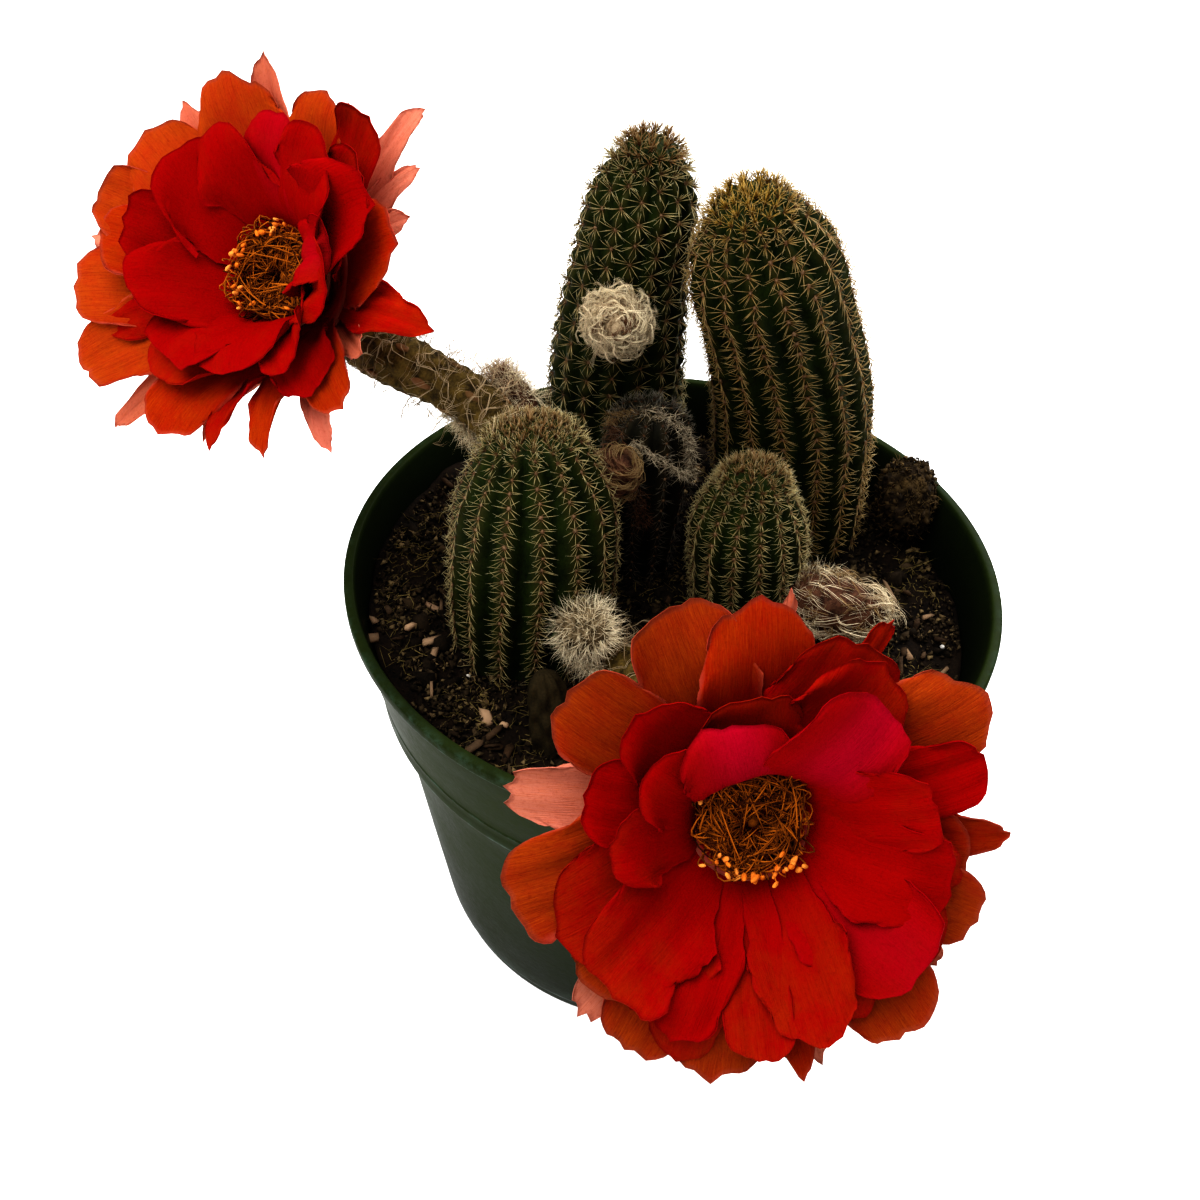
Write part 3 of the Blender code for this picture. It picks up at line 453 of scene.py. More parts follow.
def buildPot():
    names = ("height", "ledge", "lip", "collarFoot", "bodyTop", "base")
    h, ledge, lip, neck, body, foot = (pot[name] for name in names)
    inner = lip - pot["lipWidth"]
    # (reach, height, wear of the edge), from the middle of the floor up the inside and down the outside
    profile = [(0, pot["floor"], 0), (potInside(2.2) - 2, pot["floor"], 0), (potInside(3.4), 3.4, 0)]
    profile += [(potInside(z), z, 0) for z in np.linspace(8, ledge - 1.2, 8)]
    profile += [(potInside(ledge - 1.2) + 0.1, ledge - 0.9, 0), (potInside(ledge), ledge + 0.4, 0)]
    profile += [(potInside(z), z, 0) for z in np.linspace(ledge + 1, h - 3.0, 6)]
    profile += [
        (inner - 0.25, h - 1.2, 0), (inner, h - 0.5, 0), (inner + 0.15, h - 0.1, 0), (inner + 0.4, h, 0),
        (lip - 0.5, h, 0.2), (lip - 0.15, h - 0.12, 0.4), (lip, h - 0.45, 0.4), (lip, h - 1.9, 0.25),
        (lip - 0.05, h - 2.2, 0.9), (lip - 0.25, h - 2.5, 1.0), (lip - 0.65, h - 2.8, 0.2),
        (lip - 0.95, h - 3.2, 0), (lip - 1.05, h - 4.0, 0)]
    profile += [(neck + 0.9 + (lip - 1.95 - neck) * (z - ledge - 5) / (h - ledge - 8), z, 0)
                for z in np.linspace(h - 8, ledge + 5.6, 6)]
    profile += [
        (neck + 1.00, ledge + 5.2, 0.1), (neck + 1.08, ledge + 5.0, 0.8), (neck + 1.06, ledge + 4.8, 0.8),
        (neck + 0.94, ledge + 4.5, 0.1), (neck + 0.88, ledge + 3.0, 0), (neck + 0.85, ledge + 1.4, 0.2),
        (neck + 0.7, ledge + 0.6, 0.9), (neck + 0.4, ledge + 0.1, 0.8), (neck - 0.4, ledge - 0.5, 0.1),
        (body + 0.5, ledge - 1.4, 0), (body + 0.1, ledge - 2.8, 0)]
    profile += [(foot + 0.9 + (body - foot - 0.9) * (z - 4.6) / (ledge - 5.8), z, 0)
                for z in np.linspace(ledge - 8, 10, 8)]
    profile += [
        (foot + 0.95, 5.2, 0.2), (foot + 0.7, 4.2, 0.8), (foot + 0.2, 3.6, 0.5), (foot, 3.0, 0.1),
        (foot - 0.2, 1.0, 0.3), (foot - 0.5, 0.25, 0.9), (foot - 0.9, 0, 1), (foot - 4.0, 0, 1),
        (foot - 4.6, 0.3, 0.3), (foot - 5.0, pot["recess"], 0),
        (19, pot["recess"], 0), (18.3, 0.3, 0.4), (17.9, 0, 1), (0, 0, 0.5)]
    profile = np.array(profile)
    angle = fullTurn * np.arange(pot["steps"]) / pot["steps"]
    rings = profile[1:-1]
    wobble = 1 + 0.0012 * np.sin(3 * angle)[None] * (rings[:, 1:2] / h) ** 2
    points = np.stack([rings[:, :1] * np.cos(angle) * wobble, rings[:, :1] * np.sin(angle) * wobble,
                       rings[:, 1:2] + 0 * angle], -1)
    flat, faces = closedBody(points)
    flat[-2] = (0, 0, pot["floor"])
    flat[-1] = (0, 0, 0)
    faces = [quads[:, ::-1] for quads in faces]
    edge = np.concatenate([np.repeat(rings[:, 2], pot["steps"]), [0, 0.5]])
    last = int(np.argmax(rings[:, 1])) - 2
    # painted shade inside the pot: full on the inner wall and floor, 45 % less near the lip, none outside
    grubby = np.where(np.arange(len(rings)) < last, 1.0 - 0.45 * blendIn(rings[:, 1], 84, 95), 0.0)
    grubby = np.concatenate([np.repeat(grubby, pot["steps"]), [1, 0]])
    low = np.concatenate([np.repeat(1 - blendIn(rings[:, 1], 8, 62), pot["steps"]), [0, 1]])
    piece = addPiece("pot_body", flat, faces, potMaterial(), ["pot"],
                     {"edge": edge, "inside": grubby, "low": low})
    cutters = []
    for index in range(pot["drains"]):
        turn = fullTurn * (index + 0.5) / pot["drains"]
        bm = bmesh.new()
        bmesh.ops.create_cone(bm, cap_ends=True, segments=32, radius1=pot["drainRadius"] * mm,
                              radius2=pot["drainRadius"] * mm, depth=8 * mm)
        bmesh.ops.translate(bm, verts=bm.verts,
                            vec=Vector((math.cos(turn), math.sin(turn), 0)) * pot["drainRing"] * mm)
        mesh = bpy.data.meshes.new("drain")
        bm.to_mesh(mesh)
        bm.free()
        cutter = bpy.data.objects.new("drain", mesh)
        bpy.context.scene.collection.objects.link(cutter)
        take = piece.modifiers.new("drain", "BOOLEAN")
        take.operation = "DIFFERENCE"
        take.solver = "MANIFOLD"
        take.object = cutter
        cutters.append(cutter)
    depsgraph = bpy.context.evaluated_depsgraph_get()
    done = bpy.data.meshes.new_from_object(piece.evaluated_get(depsgraph))
    piece.modifiers.clear()
    piece.data = done
    for cutter in cutters:
        bpy.data.objects.remove(cutter)
    done.shade_smooth()
    done.set_sharp_from_angle(angle=math.radians(50))


buildPot()
print("pot turned")


# Soil: a lumpy bed, with crumbs, grains, chips, perlite and rootlets lying on it

soil = {"top": 86.0, "rings": 82, "columns": 230, "relief": 0.55, "crumbs": 2600, "grains": 9000, "chips": 90,
        "perlite": 6, "rootlets": 2400, "bank": 4.2, "wallRings": (70.0, 68.0, 5.0, 2.6),
        "dark": (0.0030, 0.0020, 0.0014), "light": (0.015, 0.009, 0.005)}


def soilHeight(x, y):
    # the same gentle lumps as the solid below
    lumps = np.sin(0.23 * x + 1.3) * np.cos(0.19 * y - 0.4) + 0.6 * np.sin(0.51 * x - 0.37 * y)
    bank = soil["bank"] * blendIn(np.hypot(x, y), 36, 59) * blendIn(-x, 0, 45)
    return soil["top"] + soil["relief"] * lumps - 0.0006 * (x * x + y * y) + bank


def fineRelief(x, y):
    # crumbly relief in three sizes, in millimetres
    def read(scale, seed):
        return np.array([noise.noise((a / scale, b / scale, seed)) for a, b in zip(x, y)])

    coarse, middle, fine = read(6.5, 1.7), read(2.6, 5.1), read(1.1, 9.3)
    return 0.9 * coarse + 0.75 * np.abs(middle) + 0.35 * np.abs(fine)


def soilSpots(count, rng, edge, room=0.0, patchy=0.0):
    # random spots on the soil, clear of the stems, gathered in patches
    feet = np.array([(*spec["axis"][0][:2], spec["axis"][0][3]) for spec in stems.values()])
    kept = np.empty((0, 2))
    while len(kept) < count:
        reach = edge * np.sqrt(rng.random(count))
        angle = fullTurn * rng.random(count)
        spots = np.column_stack([reach * np.cos(angle), reach * np.sin(angle)])
        apart = np.linalg.norm(spots[:, None] - feet[None, :, :2], axis=-1) - feet[None, :, 2]
        drift = np.array([noise.noise((a / 13, b / 13, 4.4 + 9 * patchy)) for a, b in spots])
        wanted = rng.random(count) > patchy * (0.5 - 2.2 * drift)
        kept = np.vstack([kept, spots[(apart > room).all(1) & wanted]])
    return kept[:count]


def buildSoil(edge):
    rng = np.random.default_rng(5)
    reach = edge * (np.arange(1, soil["rings"] + 1) / soil["rings"])
    angle = fullTurn * np.arange(soil["columns"]) / soil["columns"]
    x = reach[:, None] * np.cos(angle)
    y = reach[:, None] * np.sin(angle)
    z = soilHeight(x, y) + (fineRelief(x.ravel(), y.ravel()).reshape(x.shape) - 0.2) * 0.9
    spread = 1 + 0.018 * (z - soil["top"]).clip(0, 4.2) / 4.2
    top = np.stack([x * spread, y * spread, z], -1)
    low = []
    for height in soil["wallRings"]:
        ring = (potInside(height) - 0.4) / edge
        low.append(np.stack([x[-1] * ring, y[-1] * ring, np.full_like(x[-1], height)], -1))
    flat, faces = closedBody(np.concatenate([top, np.array(low)]))
    flat[-2] = (0, 0, soilHeight(0, 0))
    flat[-1] = (0, 0, soil["wallRings"][-1])
    bed = mottled("pottingSoil", "soil", soil["dark"], soil["light"])
    addPiece("soil_bed", flat, [quads[:, ::-1] for quads in faces], bed, ["soil"], smooth=False)

    crumb = mottled("soilCrumb", "crumb", (0.003, 0.002, 0.001), (0.017, 0.011, 0.006), (0.100, 0.066, 0.034))
    count = soil["crumbs"]
    spots = soilSpots(count, rng, edge - 1.5, -1.5, 0.6)
    size = rng.gamma(2.2, 0.32, count).clip(0.4, 1.8)
    places = np.column_stack([spots, soilHeight(*spots.T) + 0.25 * size])
    sizes = size[:, None] * rng.uniform(0.25, 1.5, (count, 3))
    bits = scatter(octahedron, places, randomTurns(count, rng), sizes * 1.1, 0.42, rng)
    addBits("soil_crumbs", bits, crumb, rng.random(count) ** 7)

    grain = mottled("soilGrain", "crumb", (0.005, 0.003, 0.002), (0.036, 0.024, 0.012), (0.190, 0.135, 0.065))
    count = soil["grains"]
    spots = soilSpots(count, rng, edge - 0.6, -1.0, 0.8)
    size = rng.uniform(0.18, 0.55, count)
    places = np.column_stack([spots, soilHeight(*spots.T) + 0.55 + 0.2 * rng.random(count)])
    sizes = size[:, None] * rng.uniform(0.25, 1.6, (count, 3))
    bits = scatter(tetrahedron, places, randomTurns(count, rng), sizes, 0.25, rng)
    addBits("soil_grains", bits, grain, rng.random(count) ** 5)
    buildLitter(rng, edge)


# Chips that stand out in the photo, as (x, y, length, width, turn in degrees, paleness)
namedChips = [(-42.6, -25.2, 6.8, 1.3, -8, 0.62), (-43.8, -21.5, 4.6, 1.5, -48, 0.80),
              (-48.2, -19.6, 2.4, 1.3, -30, 1.0), (-54.6, -23.6, 3.6, 2.2, -60, 0.40),
              (-55.6, -18.6, 2.0, 1.5, 40, 0.45), (-45.5, -12.6, 3.6, 1.0, 60, 0.55),
              (-30.2, -38.2, 3.6, 2.4, 15, 0.85), (-26.6, -39.5, 2.0, 1.3, 80, 0.95),
              (-37.5, -4.2, 1.8, 1.6, 0, 0.70), (-41.0, -34.2, 3.4, 0.6, 10, 0.45),
              (45.0, 8.0, 7.0, 1.0, 25, 0.35), (44.0, -18.0, 3.4, 1.4, 70, 0.45),
              (47.5, -9.5, 2.8, 1.4, 30, 0.50), (36.0, 12.0, 3.0, 2.0, 0, 0.30),
              (52.0, 2.0, 3.2, 0.9, -50, 0.45)]


def buildLitter(rng, edge):
    named = np.array(namedChips)
    more = soil["chips"]
    spots = np.vstack([named[:, :2], soilSpots(more, rng, edge - 3, 0.5)])
    count = len(spots)
    lengths = np.concatenate([named[:, 2], rng.uniform(2.0, 5.0, more)]) / 2
    widths = np.concatenate([named[:, 3], rng.uniform(0.4, 1.5, more)]) / 2
    spin = np.concatenate([np.radians(named[:, 4]), fullTurn * rng.random(more)])
    tilt = unit(np.column_stack([rng.normal(0, 0.22, (count, 2)), np.ones(count)]))
    places = np.column_stack([spots, soilHeight(*spots.T) + 0.9])
    sizes = np.column_stack([lengths, widths, rng.uniform(0.3, 0.7, count)])
    corners, faces = ballShape(1)
    boxy = np.sign(corners) * np.abs(corners) ** 0.5
    turns = turnsFacing(tilt, 0 * spin)
    flatTurn = np.stack([np.stack([np.cos(spin), -np.sin(spin), 0 * spin], -1),
                         np.stack([np.sin(spin), np.cos(spin), 0 * spin], -1),
                         np.broadcast_to([0, 0, 1.0], (count, 3))], 1)
    bits = scatter((boxy, faces), places, turns @ flatTurn, sizes, 0.30, rng)
    chip = mottled("barkChip", "crumb", (0.014, 0.008, 0.004), (0.056, 0.032, 0.016),
                   (0.380, 0.250, 0.150), 0.8)
    addBits("bark_chips", bits, chip, np.concatenate([named[:, 5], 0.4 * rng.random(more) ** 5]))

    count = soil["perlite"]
    spots = soilSpots(count, rng, edge - 2, 0.5)
    size = rng.uniform(0.18, 0.48, count)
    places = np.column_stack([spots, soilHeight(*spots.T) + 0.7])
    sizes = size[:, None] * rng.uniform(0.8, 1.2, (count, 3))
    bits = scatter(ballShape(2), places, randomTurns(count, rng), sizes, 0.15, rng)
    perlite = mottled("perlite", "crumb", (0.42, 0.40, 0.37), (0.62, 0.60, 0.56), (0.75, 0.55, 0.15))
    addBits("perlite_specks", bits, perlite, rng.random(count) ** 6)

    count = soil["rootlets"]
    spots = soilSpots(count, rng, edge - 2, 0.5, 0.9)
    places = np.column_stack([spots, soilHeight(*spots.T) + 0.9])
    way = unit(np.column_stack([rng.normal(size=(count, 2)), rng.normal(0, 0.12, count)]))
    paths = [places]
    stride = rng.uniform(0.12, 0.6, (count, 1)) ** 1.2 + (rng.random((count, 1)) < 0.12) * 0.7
    for _ in range(3):
        way = unit(way + rng.normal(0, 0.60, (count, 3)) * [1, 1, 0.25])
        paths.append(paths[-1] + way * stride * 2.1)
    paths = np.stack(paths, 1)
    radii = rng.uniform(0.04, 0.10, (count, 1)) * np.linspace(1, 0.6, 4)[None]
    rootlet = mottled("rootlet", "crumb", (0.024, 0.017, 0.005), (0.090, 0.066, 0.022), (0.220, 0.165, 0.060))
    addStrands("rootlets", strandTubes(paths, radii), rootlet, rng.random(count))


# Stems: foot to crown as (x, y, z, radius over the ribs)
stems = {
    "stem_back_left": {
        "axis": [(-15, 31, 86, 14.3), (-15.4, 31, 108, 13.7), (-15.2, 30.4, 124, 12.9),
                 (-13.6, 29.6, 143, 11.0), (-12.0, 28.9, 156, 9.7), (-11.2, 28.2, 165, 4.8)],
        "ribs": 16, "ribDepth": 0.10, "ribTurn": 0.0, "crown": 1.8, "areoleGap": 3.9, "knobs": 0.035,
        "radials": 10, "centrals": 2, "crownSpines": 7, "spine": 3.5, "comb": 0.20, "spineRadius": 0.074,
        "wool": 0.38, "tuft": 200, "crownBrown": 1.0},
    "stem_back_right": {
        "axis": [(23.6, 28.6, 86, 15.2), (21.6, 28, 107, 15.7), (19.6, 26.2, 121, 15.2),
                 (14.4, 21.6, 139, 13.9), (9.9, 17, 152, 12.9), (6.4, 13, 162.5, 6.8)],
        "ribs": 15, "ribDepth": 0.14, "ribTurn": 0.0, "crown": 2.4, "areoleGap": 2.9, "knobs": 0.025,
        "radials": 10, "centrals": 1, "crownSpines": 8, "spine": 3.2, "comb": 0.95, "spineRadius": 0.070,
        "wool": 0.44, "tuft": 250, "crownBrown": 1.0, "spines": "goldSpine"},
    "stem_front_left": {
        "axis": [(-26.2, -15, 86, 14.1), (-25.7, -15, 98, 14.9), (-25.2, -14.8, 109, 14.9),
                 (-25, -14.2, 120, 13.5), (-25.7, -13.4, 130, 8.6)],
        "ribs": 14, "ribDepth": 0.16, "ribTurn": 0.0, "crown": 3.2, "areoleGap": 2.3, "knobs": 0.02,
        "radials": 8, "centrals": 1, "crownSpines": 7, "spine": 2.9, "comb": 1.5, "spineRadius": 0.062,
        "wool": 0.38, "tuft": 290, "crownBrown": 0.9},
    "stem_front_small": {
        "axis": [(15.3, -0.5, 86, 10.3), (14.3, -0.5, 98, 10.9),
                 (13.4, -0.5, 108, 10.4), (13.4, -0.5, 117, 6.2)],
        "ribs": 14, "ribDepth": 0.13, "ribTurn": 0.0, "crown": 3.2, "areoleGap": 2.1, "knobs": 0.02,
        "radials": 10, "centrals": 1, "crownSpines": 6, "spine": 2.7, "comb": 1.2, "spineRadius": 0.060,
        "wool": 0.34, "tuft": 240, "crownBrown": 0.8},
    "stem_centre_pup": {
        "axis": [(-7.2, 9, 86, 6.6), (-7.3, 9.1, 98, 7.6), (-7.4, 9.4, 108, 8.8), (-7.0, 9.8, 118, 8.0)],
        "ribs": 10, "ribDepth": 0.24, "ribTurn": 0.2, "crown": 6.4, "areoleGap": 2.5, "knobs": 0.02,
        "radials": 8, "centrals": 0, "crownSpines": 2, "spine": 2.6, "comb": 0.4, "spineRadius": 0.045,
        "wool": 0.35, "tuft": 60, "crownBrown": 0.0, "skin": "pupShadedSkin", "spines": "pupShadedSpine"},
}
# the skin's dark and light mottle colours, and the colour laid over the rib crests
skinLooks = {"stemSkin": ((0.0030, 0.0055, 0.0008), (0.017, 0.028, 0.004), (0.038, 0.036, 0.009)),
             # the young stem's skin is a darker, greyer copy: painted shade, as it stands in the shadow of
             # the stems round it
             "pupShadedSkin": ((0.003, 0.003, 0.002), (0.014, 0.013, 0.007), (0.030, 0.022, 0.010))}
# colours of a spine's root, middle and tip, and of a brown one
spineLooks = {
    "spine": ((0.130, 0.062, 0.024), (0.375, 0.315, 0.150), (0.760, 0.735, 0.500), (0.200, 0.078, 0.020)),
    "goldSpine": ((0.170, 0.070, 0.030), (0.330, 0.235, 0.105), (0.720, 0.600, 0.350), (0.460, 0.280, 0.040)),
    # the young stem's spines are darker, greyer copies too: painted shade
    "pupShadedSpine": ((0.060, 0.045, 0.030), (0.190, 0.170, 0.130), (0.400, 0.370, 0.310), (0.070, 0.050, 0.030)),
}
spineSteps = (0.0, 0.6, 1.0)
spineTaper = np.array([[1.05, 0.80, 0.0]])


def woolMaterial(name, root, body, odd, oddness):
    return strandMaterial(name, root, body, body, odd, oddness)


def stemSkin(spec):
    route = smoothRoute(spec["axis"], 90)
    buried = route[:1] + [[0, 0, -10, 0]]
    upward = unit(route[-1, :3] - route[-2, :3])
    bend = np.linspace(0, math.pi / 2, 13)[1:]
    dome = np.column_stack([route[-1, :3] + upward * (spec["crown"] * np.sin(bend))[:, None],
                            route[-1, 3] * np.cos(bend)])
    return skinOf(np.vstack([buried, route, dome]), 0.82)


def buildStem(name, spec, skinSurface, spineSurface, woolSurface):
    rng = np.random.default_rng(len(name) * 7 + spec["ribs"])
    skin = stemSkin(spec)
    total = skin["arc"][-1]
    start = spec["ribTurn"]

    def ribShape(arc, angle):
        valley = 1 - np.abs(np.cos(spec["ribs"] * (angle - start) / 2))
        fade = blendIn(arc, 4, 12) * (1 - blendIn(arc, total - 5, total - 0.5))
        rib = np.round((angle - start) / fullTurn * spec["ribs"])
        knob = np.cos(fullTurn * (arc / spec["areoleGap"] - 0.5 * (rib % 2))) * (1 - valley) ** 3
        return 1 - spec["ribDepth"] * valley * fade + spec["knobs"] * knob * fade

    points, angle = ringedPoints(skin, spec["ribs"] * 8, ribShape)
    flat, faces = closedBody(points)
    crest = np.abs(np.cos(spec["ribs"] * (angle - start) / 2)) ** 6
    crest = np.concatenate([np.tile(crest, len(points)), [0, 1]])
    addPiece(name + "_skin", flat, faces, skinSurface, [name], {"crest": crest})

    arcs, ribs = [], []
    for rib in range(spec["ribs"]):
        gap = spec["areoleGap"]
        low = np.arange(10 + gap * (0.5 * (rib % 2)), total - 7, gap)
        high = np.arange(low[-1] + gap * 0.7, total - 0.9, gap * 0.62)
        high = high[(high < total - 4.5) | ((rib % 2 == 0) & (high < total - 2)) | (rib % 4 == 0)]
        here = np.concatenate([low, high])
        arcs.append(here)
        ribs.append(np.full(len(here), rib))
    arc = np.concatenate(arcs)
    rib = np.concatenate(ribs)
    arc = arc + rng.normal(0, 0.12, len(arc))
    angle = start + fullTurn * rib / spec["ribs"] + rng.normal(0, 0.012, len(arc))
    place, normal, around, upward = onSkin(skin, arc, angle)
    young = blendIn(arc, total - 16, total - 3)
    newest = blendIn(arc, total - 9, total - 3)

    size = spec["wool"] * rng.uniform(0.8, 1.2, len(arc)) * (1 - 0.25 * young)
    turns = turnsFacing(normal, rng.random(len(arc)) * fullTurn)
    sizes = size[:, None] * [1.15, 1.15, 0.69]
    points, triangles, owner = scatter(octahedron, place + normal * 0.05, turns, sizes, 0.25, rng)
    fields = {"along": np.full(len(points), 0.4), "tint": (0.35 * rng.random(len(arc)) + 0.65 * young)[owner]}
    addPiece(name + "_areoles", points, [triangles], woolSurface, fields=fields)

    each = spec["radials"] + spec["centrals"] + np.round(young * spec["crownSpines"]).astype(int)
    owner = np.repeat(np.arange(len(arc)), each)
    kind = np.arange(len(owner)) - np.repeat(np.cumsum(each) - each, each)
    central = kind >= spec["radials"]
    star = fullTurn * (kind + 0.5 * (rib[owner] % 2)) / spec["radials"]
    step = (kind // 2) / (spec["radials"] / 2 - 1)
    tilt = np.radians(24 - 84 * step)
    comb = np.where(kind % 2 == 0, tilt, math.pi - tilt)
    # a comb of spines lies to both sides of the rib and down it, a star spreads evenly
    combed = rng.random(len(owner)) < spec["comb"] * (1.15 - 0.5 * arc[owner] / total) * (1 - young[owner])
    turn = np.where(combed, comb, star) + rng.normal(0, 0.18, len(owner))
    turn = np.where(central, fullTurn * rng.random(len(owner)), turn)
    rise = np.where(central, rng.uniform(0.7, 1.25, len(owner)), rng.normal(0.48, 0.16, len(owner)))
    rise = rise + 0.50 * young[owner]
    flatWay = around[owner] * np.cos(turn)[:, None] + upward[owner] * np.sin(turn)[:, None]
    way = unit(flatWay * np.cos(rise)[:, None] + normal[owner] * np.sin(rise)[:, None])
    length = spec["spine"] * rng.uniform(0.75, 1.15, len(owner)) * (0.75 + 0.25 * np.abs(np.cos(turn)))
    length = length * np.where(central, 0.9, 1.0) * (1 - 0.12 * young[owner])
    slide = np.where(combed & ~central, (0.5 - step) * spec["areoleGap"] * 0.30, 0)
    root = place[owner] + normal[owner] * 0.1 + flatWay * 0.15 + upward[owner] * slide[:, None]
    droop = unit(rng.normal(size=(len(owner), 3))) * 0.05
    inward = normal[owner] * 0.12
    paths = np.stack([root + (way + droop * t) * (length * t)[:, None] - inward * (t * t * length)[:, None]
                      for t in spineSteps], 1)
    radii = spec["spineRadius"] * rng.uniform(0.8, 1.15, (len(owner), 1)) * spineTaper
    brown = 0.22 * rng.random(len(owner))
    brown = brown + newest[owner] * spec["crownBrown"] * rng.uniform(0.4, 1.1, len(owner)) + 0.25 * central
    brown = np.clip(brown, 0, 1)
    addStrands(name + "_spines", strandTubes(paths, radii), spineSurface, brown)

    # young spines crowd the crown
    count = spec["tuft"]
    arc = total - 9.5 * rng.random(count) ** 0.85
    place, normal, _, upward = onSkin(skin, arc, fullTurn * rng.random(count))
    way = unit(normal + rng.normal(0, 0.55, (count, 3)) + upward * 0.2)
    droop = unit(rng.normal(size=(count, 3))) * 0.12
    length = spec["spine"] * rng.uniform(0.65, 1.15, (count, 1))
    paths = np.stack([place - normal * 0.2 + (way + droop * t) * length * t for t in spineSteps], 1)
    radii = spec["spineRadius"] * 0.95 * rng.uniform(0.8, 1.15, (count, 1)) * spineTaper
    brown = spec["crownBrown"] * blendIn(arc, total - 7, total - 2) * rng.uniform(0.3, 1.2, count)
    brown = np.clip(brown, 0, 1)
    addStrands(name + "_crown_spines", strandTubes(paths, radii), spineSurface, brown)


def buildStems():
    skins = {name: mottled(name, "skin", *look) for name, look in skinLooks.items()}
    spines = {name: strandMaterial(name, *look, 0.8, 0.5, 0.2) for name, look in spineLooks.items()}
    wool = woolMaterial("areoleWool", (0.13, 0.075, 0.04), (0.22, 0.14, 0.08), (0.10, 0.04, 0.016), 0.9)
    for name, spec in stems.items():
        buildStem(name, spec, skins[spec.get("skin", "stemSkin")], spines[spec.get("spines", "spine")], wool)


soilEdge = potInside(soil["top"] - 2.2) - 0.3
buildSoil(soilEdge)
print("soil laid")
buildStems()
print("stems grown")


# Hair: locks that lie round a bud or a tube, and tufts that stand off it

def hairLocks(guides, lock, loose, radius, rng):
    # each guide becomes a lock of strands that part a little towards the tip
    count, points, _ = guides.shape
    paths = np.repeat(guides, lock, axis=0)
    part = rng.normal(0, loose, (count * lock, 1, 3)) * np.linspace(0.5, 1, points)[None, :, None]
    paths = paths + part + np.cumsum(rng.normal(0, loose * 0.10, paths.shape), axis=1)
    radii = radius * rng.uniform(0.75, 1.25, (count * lock, 1)) * np.linspace(1, 0.3, points)[None]
    return strandTubes(paths, radii)


def hairOn(skin, style, rng):
    # locks that leave the skin, turn round it and fray
    count, points = style["guides"], style["points"]
    arc = skin["arc"][-1] * (style["low"] + (style["high"] - style["low"]) * rng.random(count))
    place, normal, around, upward = onSkin(skin, arc, fullTurn * rng.random(count))
    swirl, lift = style["swirl"], style["lift"]
    turnWay = np.where(rng.random((count, 1)) < style["spread"], 1.0, -1.0)
    way = unit(normal * 0.8 + around * turnWay * swirl + upward * rng.uniform(0.1, 0.7, (count, 1)))
    reach = style["length"] * rng.uniform(0.6, 1.25, (count, 1)) / (points - 1)
    hover = lift * rng.uniform(0.1, 1.0, (count, 1))
    path = [place - normal * 0.3]
    for _ in range(points - 1):
        here = path[-1]
        nearest = np.argmin(np.linalg.norm(here[:, None] - skin["centre"][None], axis=-1), axis=1)
        out = here - skin["centre"][nearest]
        height = np.linalg.norm(out, axis=1, keepdims=True) - skin["radius"][nearest][:, None]
        out = unit(out)
        ring = unit(np.cross(skin["forward"][nearest], out)) * turnWay
        pull = np.clip((hover - height) / max(lift, 0.1), -1, 1)
        way = unit(way * 0.75 + ring * swirl * 0.5 + skin["forward"][nearest] * style["along"]
                   + out * pull * 0.7 + rng.normal(0, style["wild"], (count, 3)))
        path.append(here + way * reach)
    return hairLocks(np.stack(path, 1), style["lock"], style["loose"], style["radius"], rng)


def tuftsOn(skin, style, rng):
    # tufts in a spiral, each a fan of hair that stands off the skin and leans to the tip
    count = style["guides"]
    arc = skin["arc"][-1] * (style["low"] + (style["high"] - style["low"]) * (np.arange(count) + 0.5) / count)
    place, normal, _, upward = onSkin(skin, arc, goldenTurn * np.arange(count))
    fan, each = style["fan"], style["each"]
    owner = np.repeat(np.arange(count), each)
    way = unit(normal[owner] + upward[owner] * style["forward"] + rng.normal(0, fan, (len(owner), 3)))
    root = place[owner] + rng.normal(0, 0.25, (len(owner), 3)) - normal[owner] * 0.3
    length = style["length"] * rng.uniform(0.5, 1.25, (len(owner), 1))
    bend = unit(np.cross(way, rng.normal(size=way.shape))) * rng.uniform(0.0, style["curl"], (len(owner), 1))
    paths = np.stack([root + way * length * t + bend * length * t * t for t in np.linspace(0, 1, 4)], 1)
    return hairLocks(paths, 1, 0.15, style["radius"], rng)


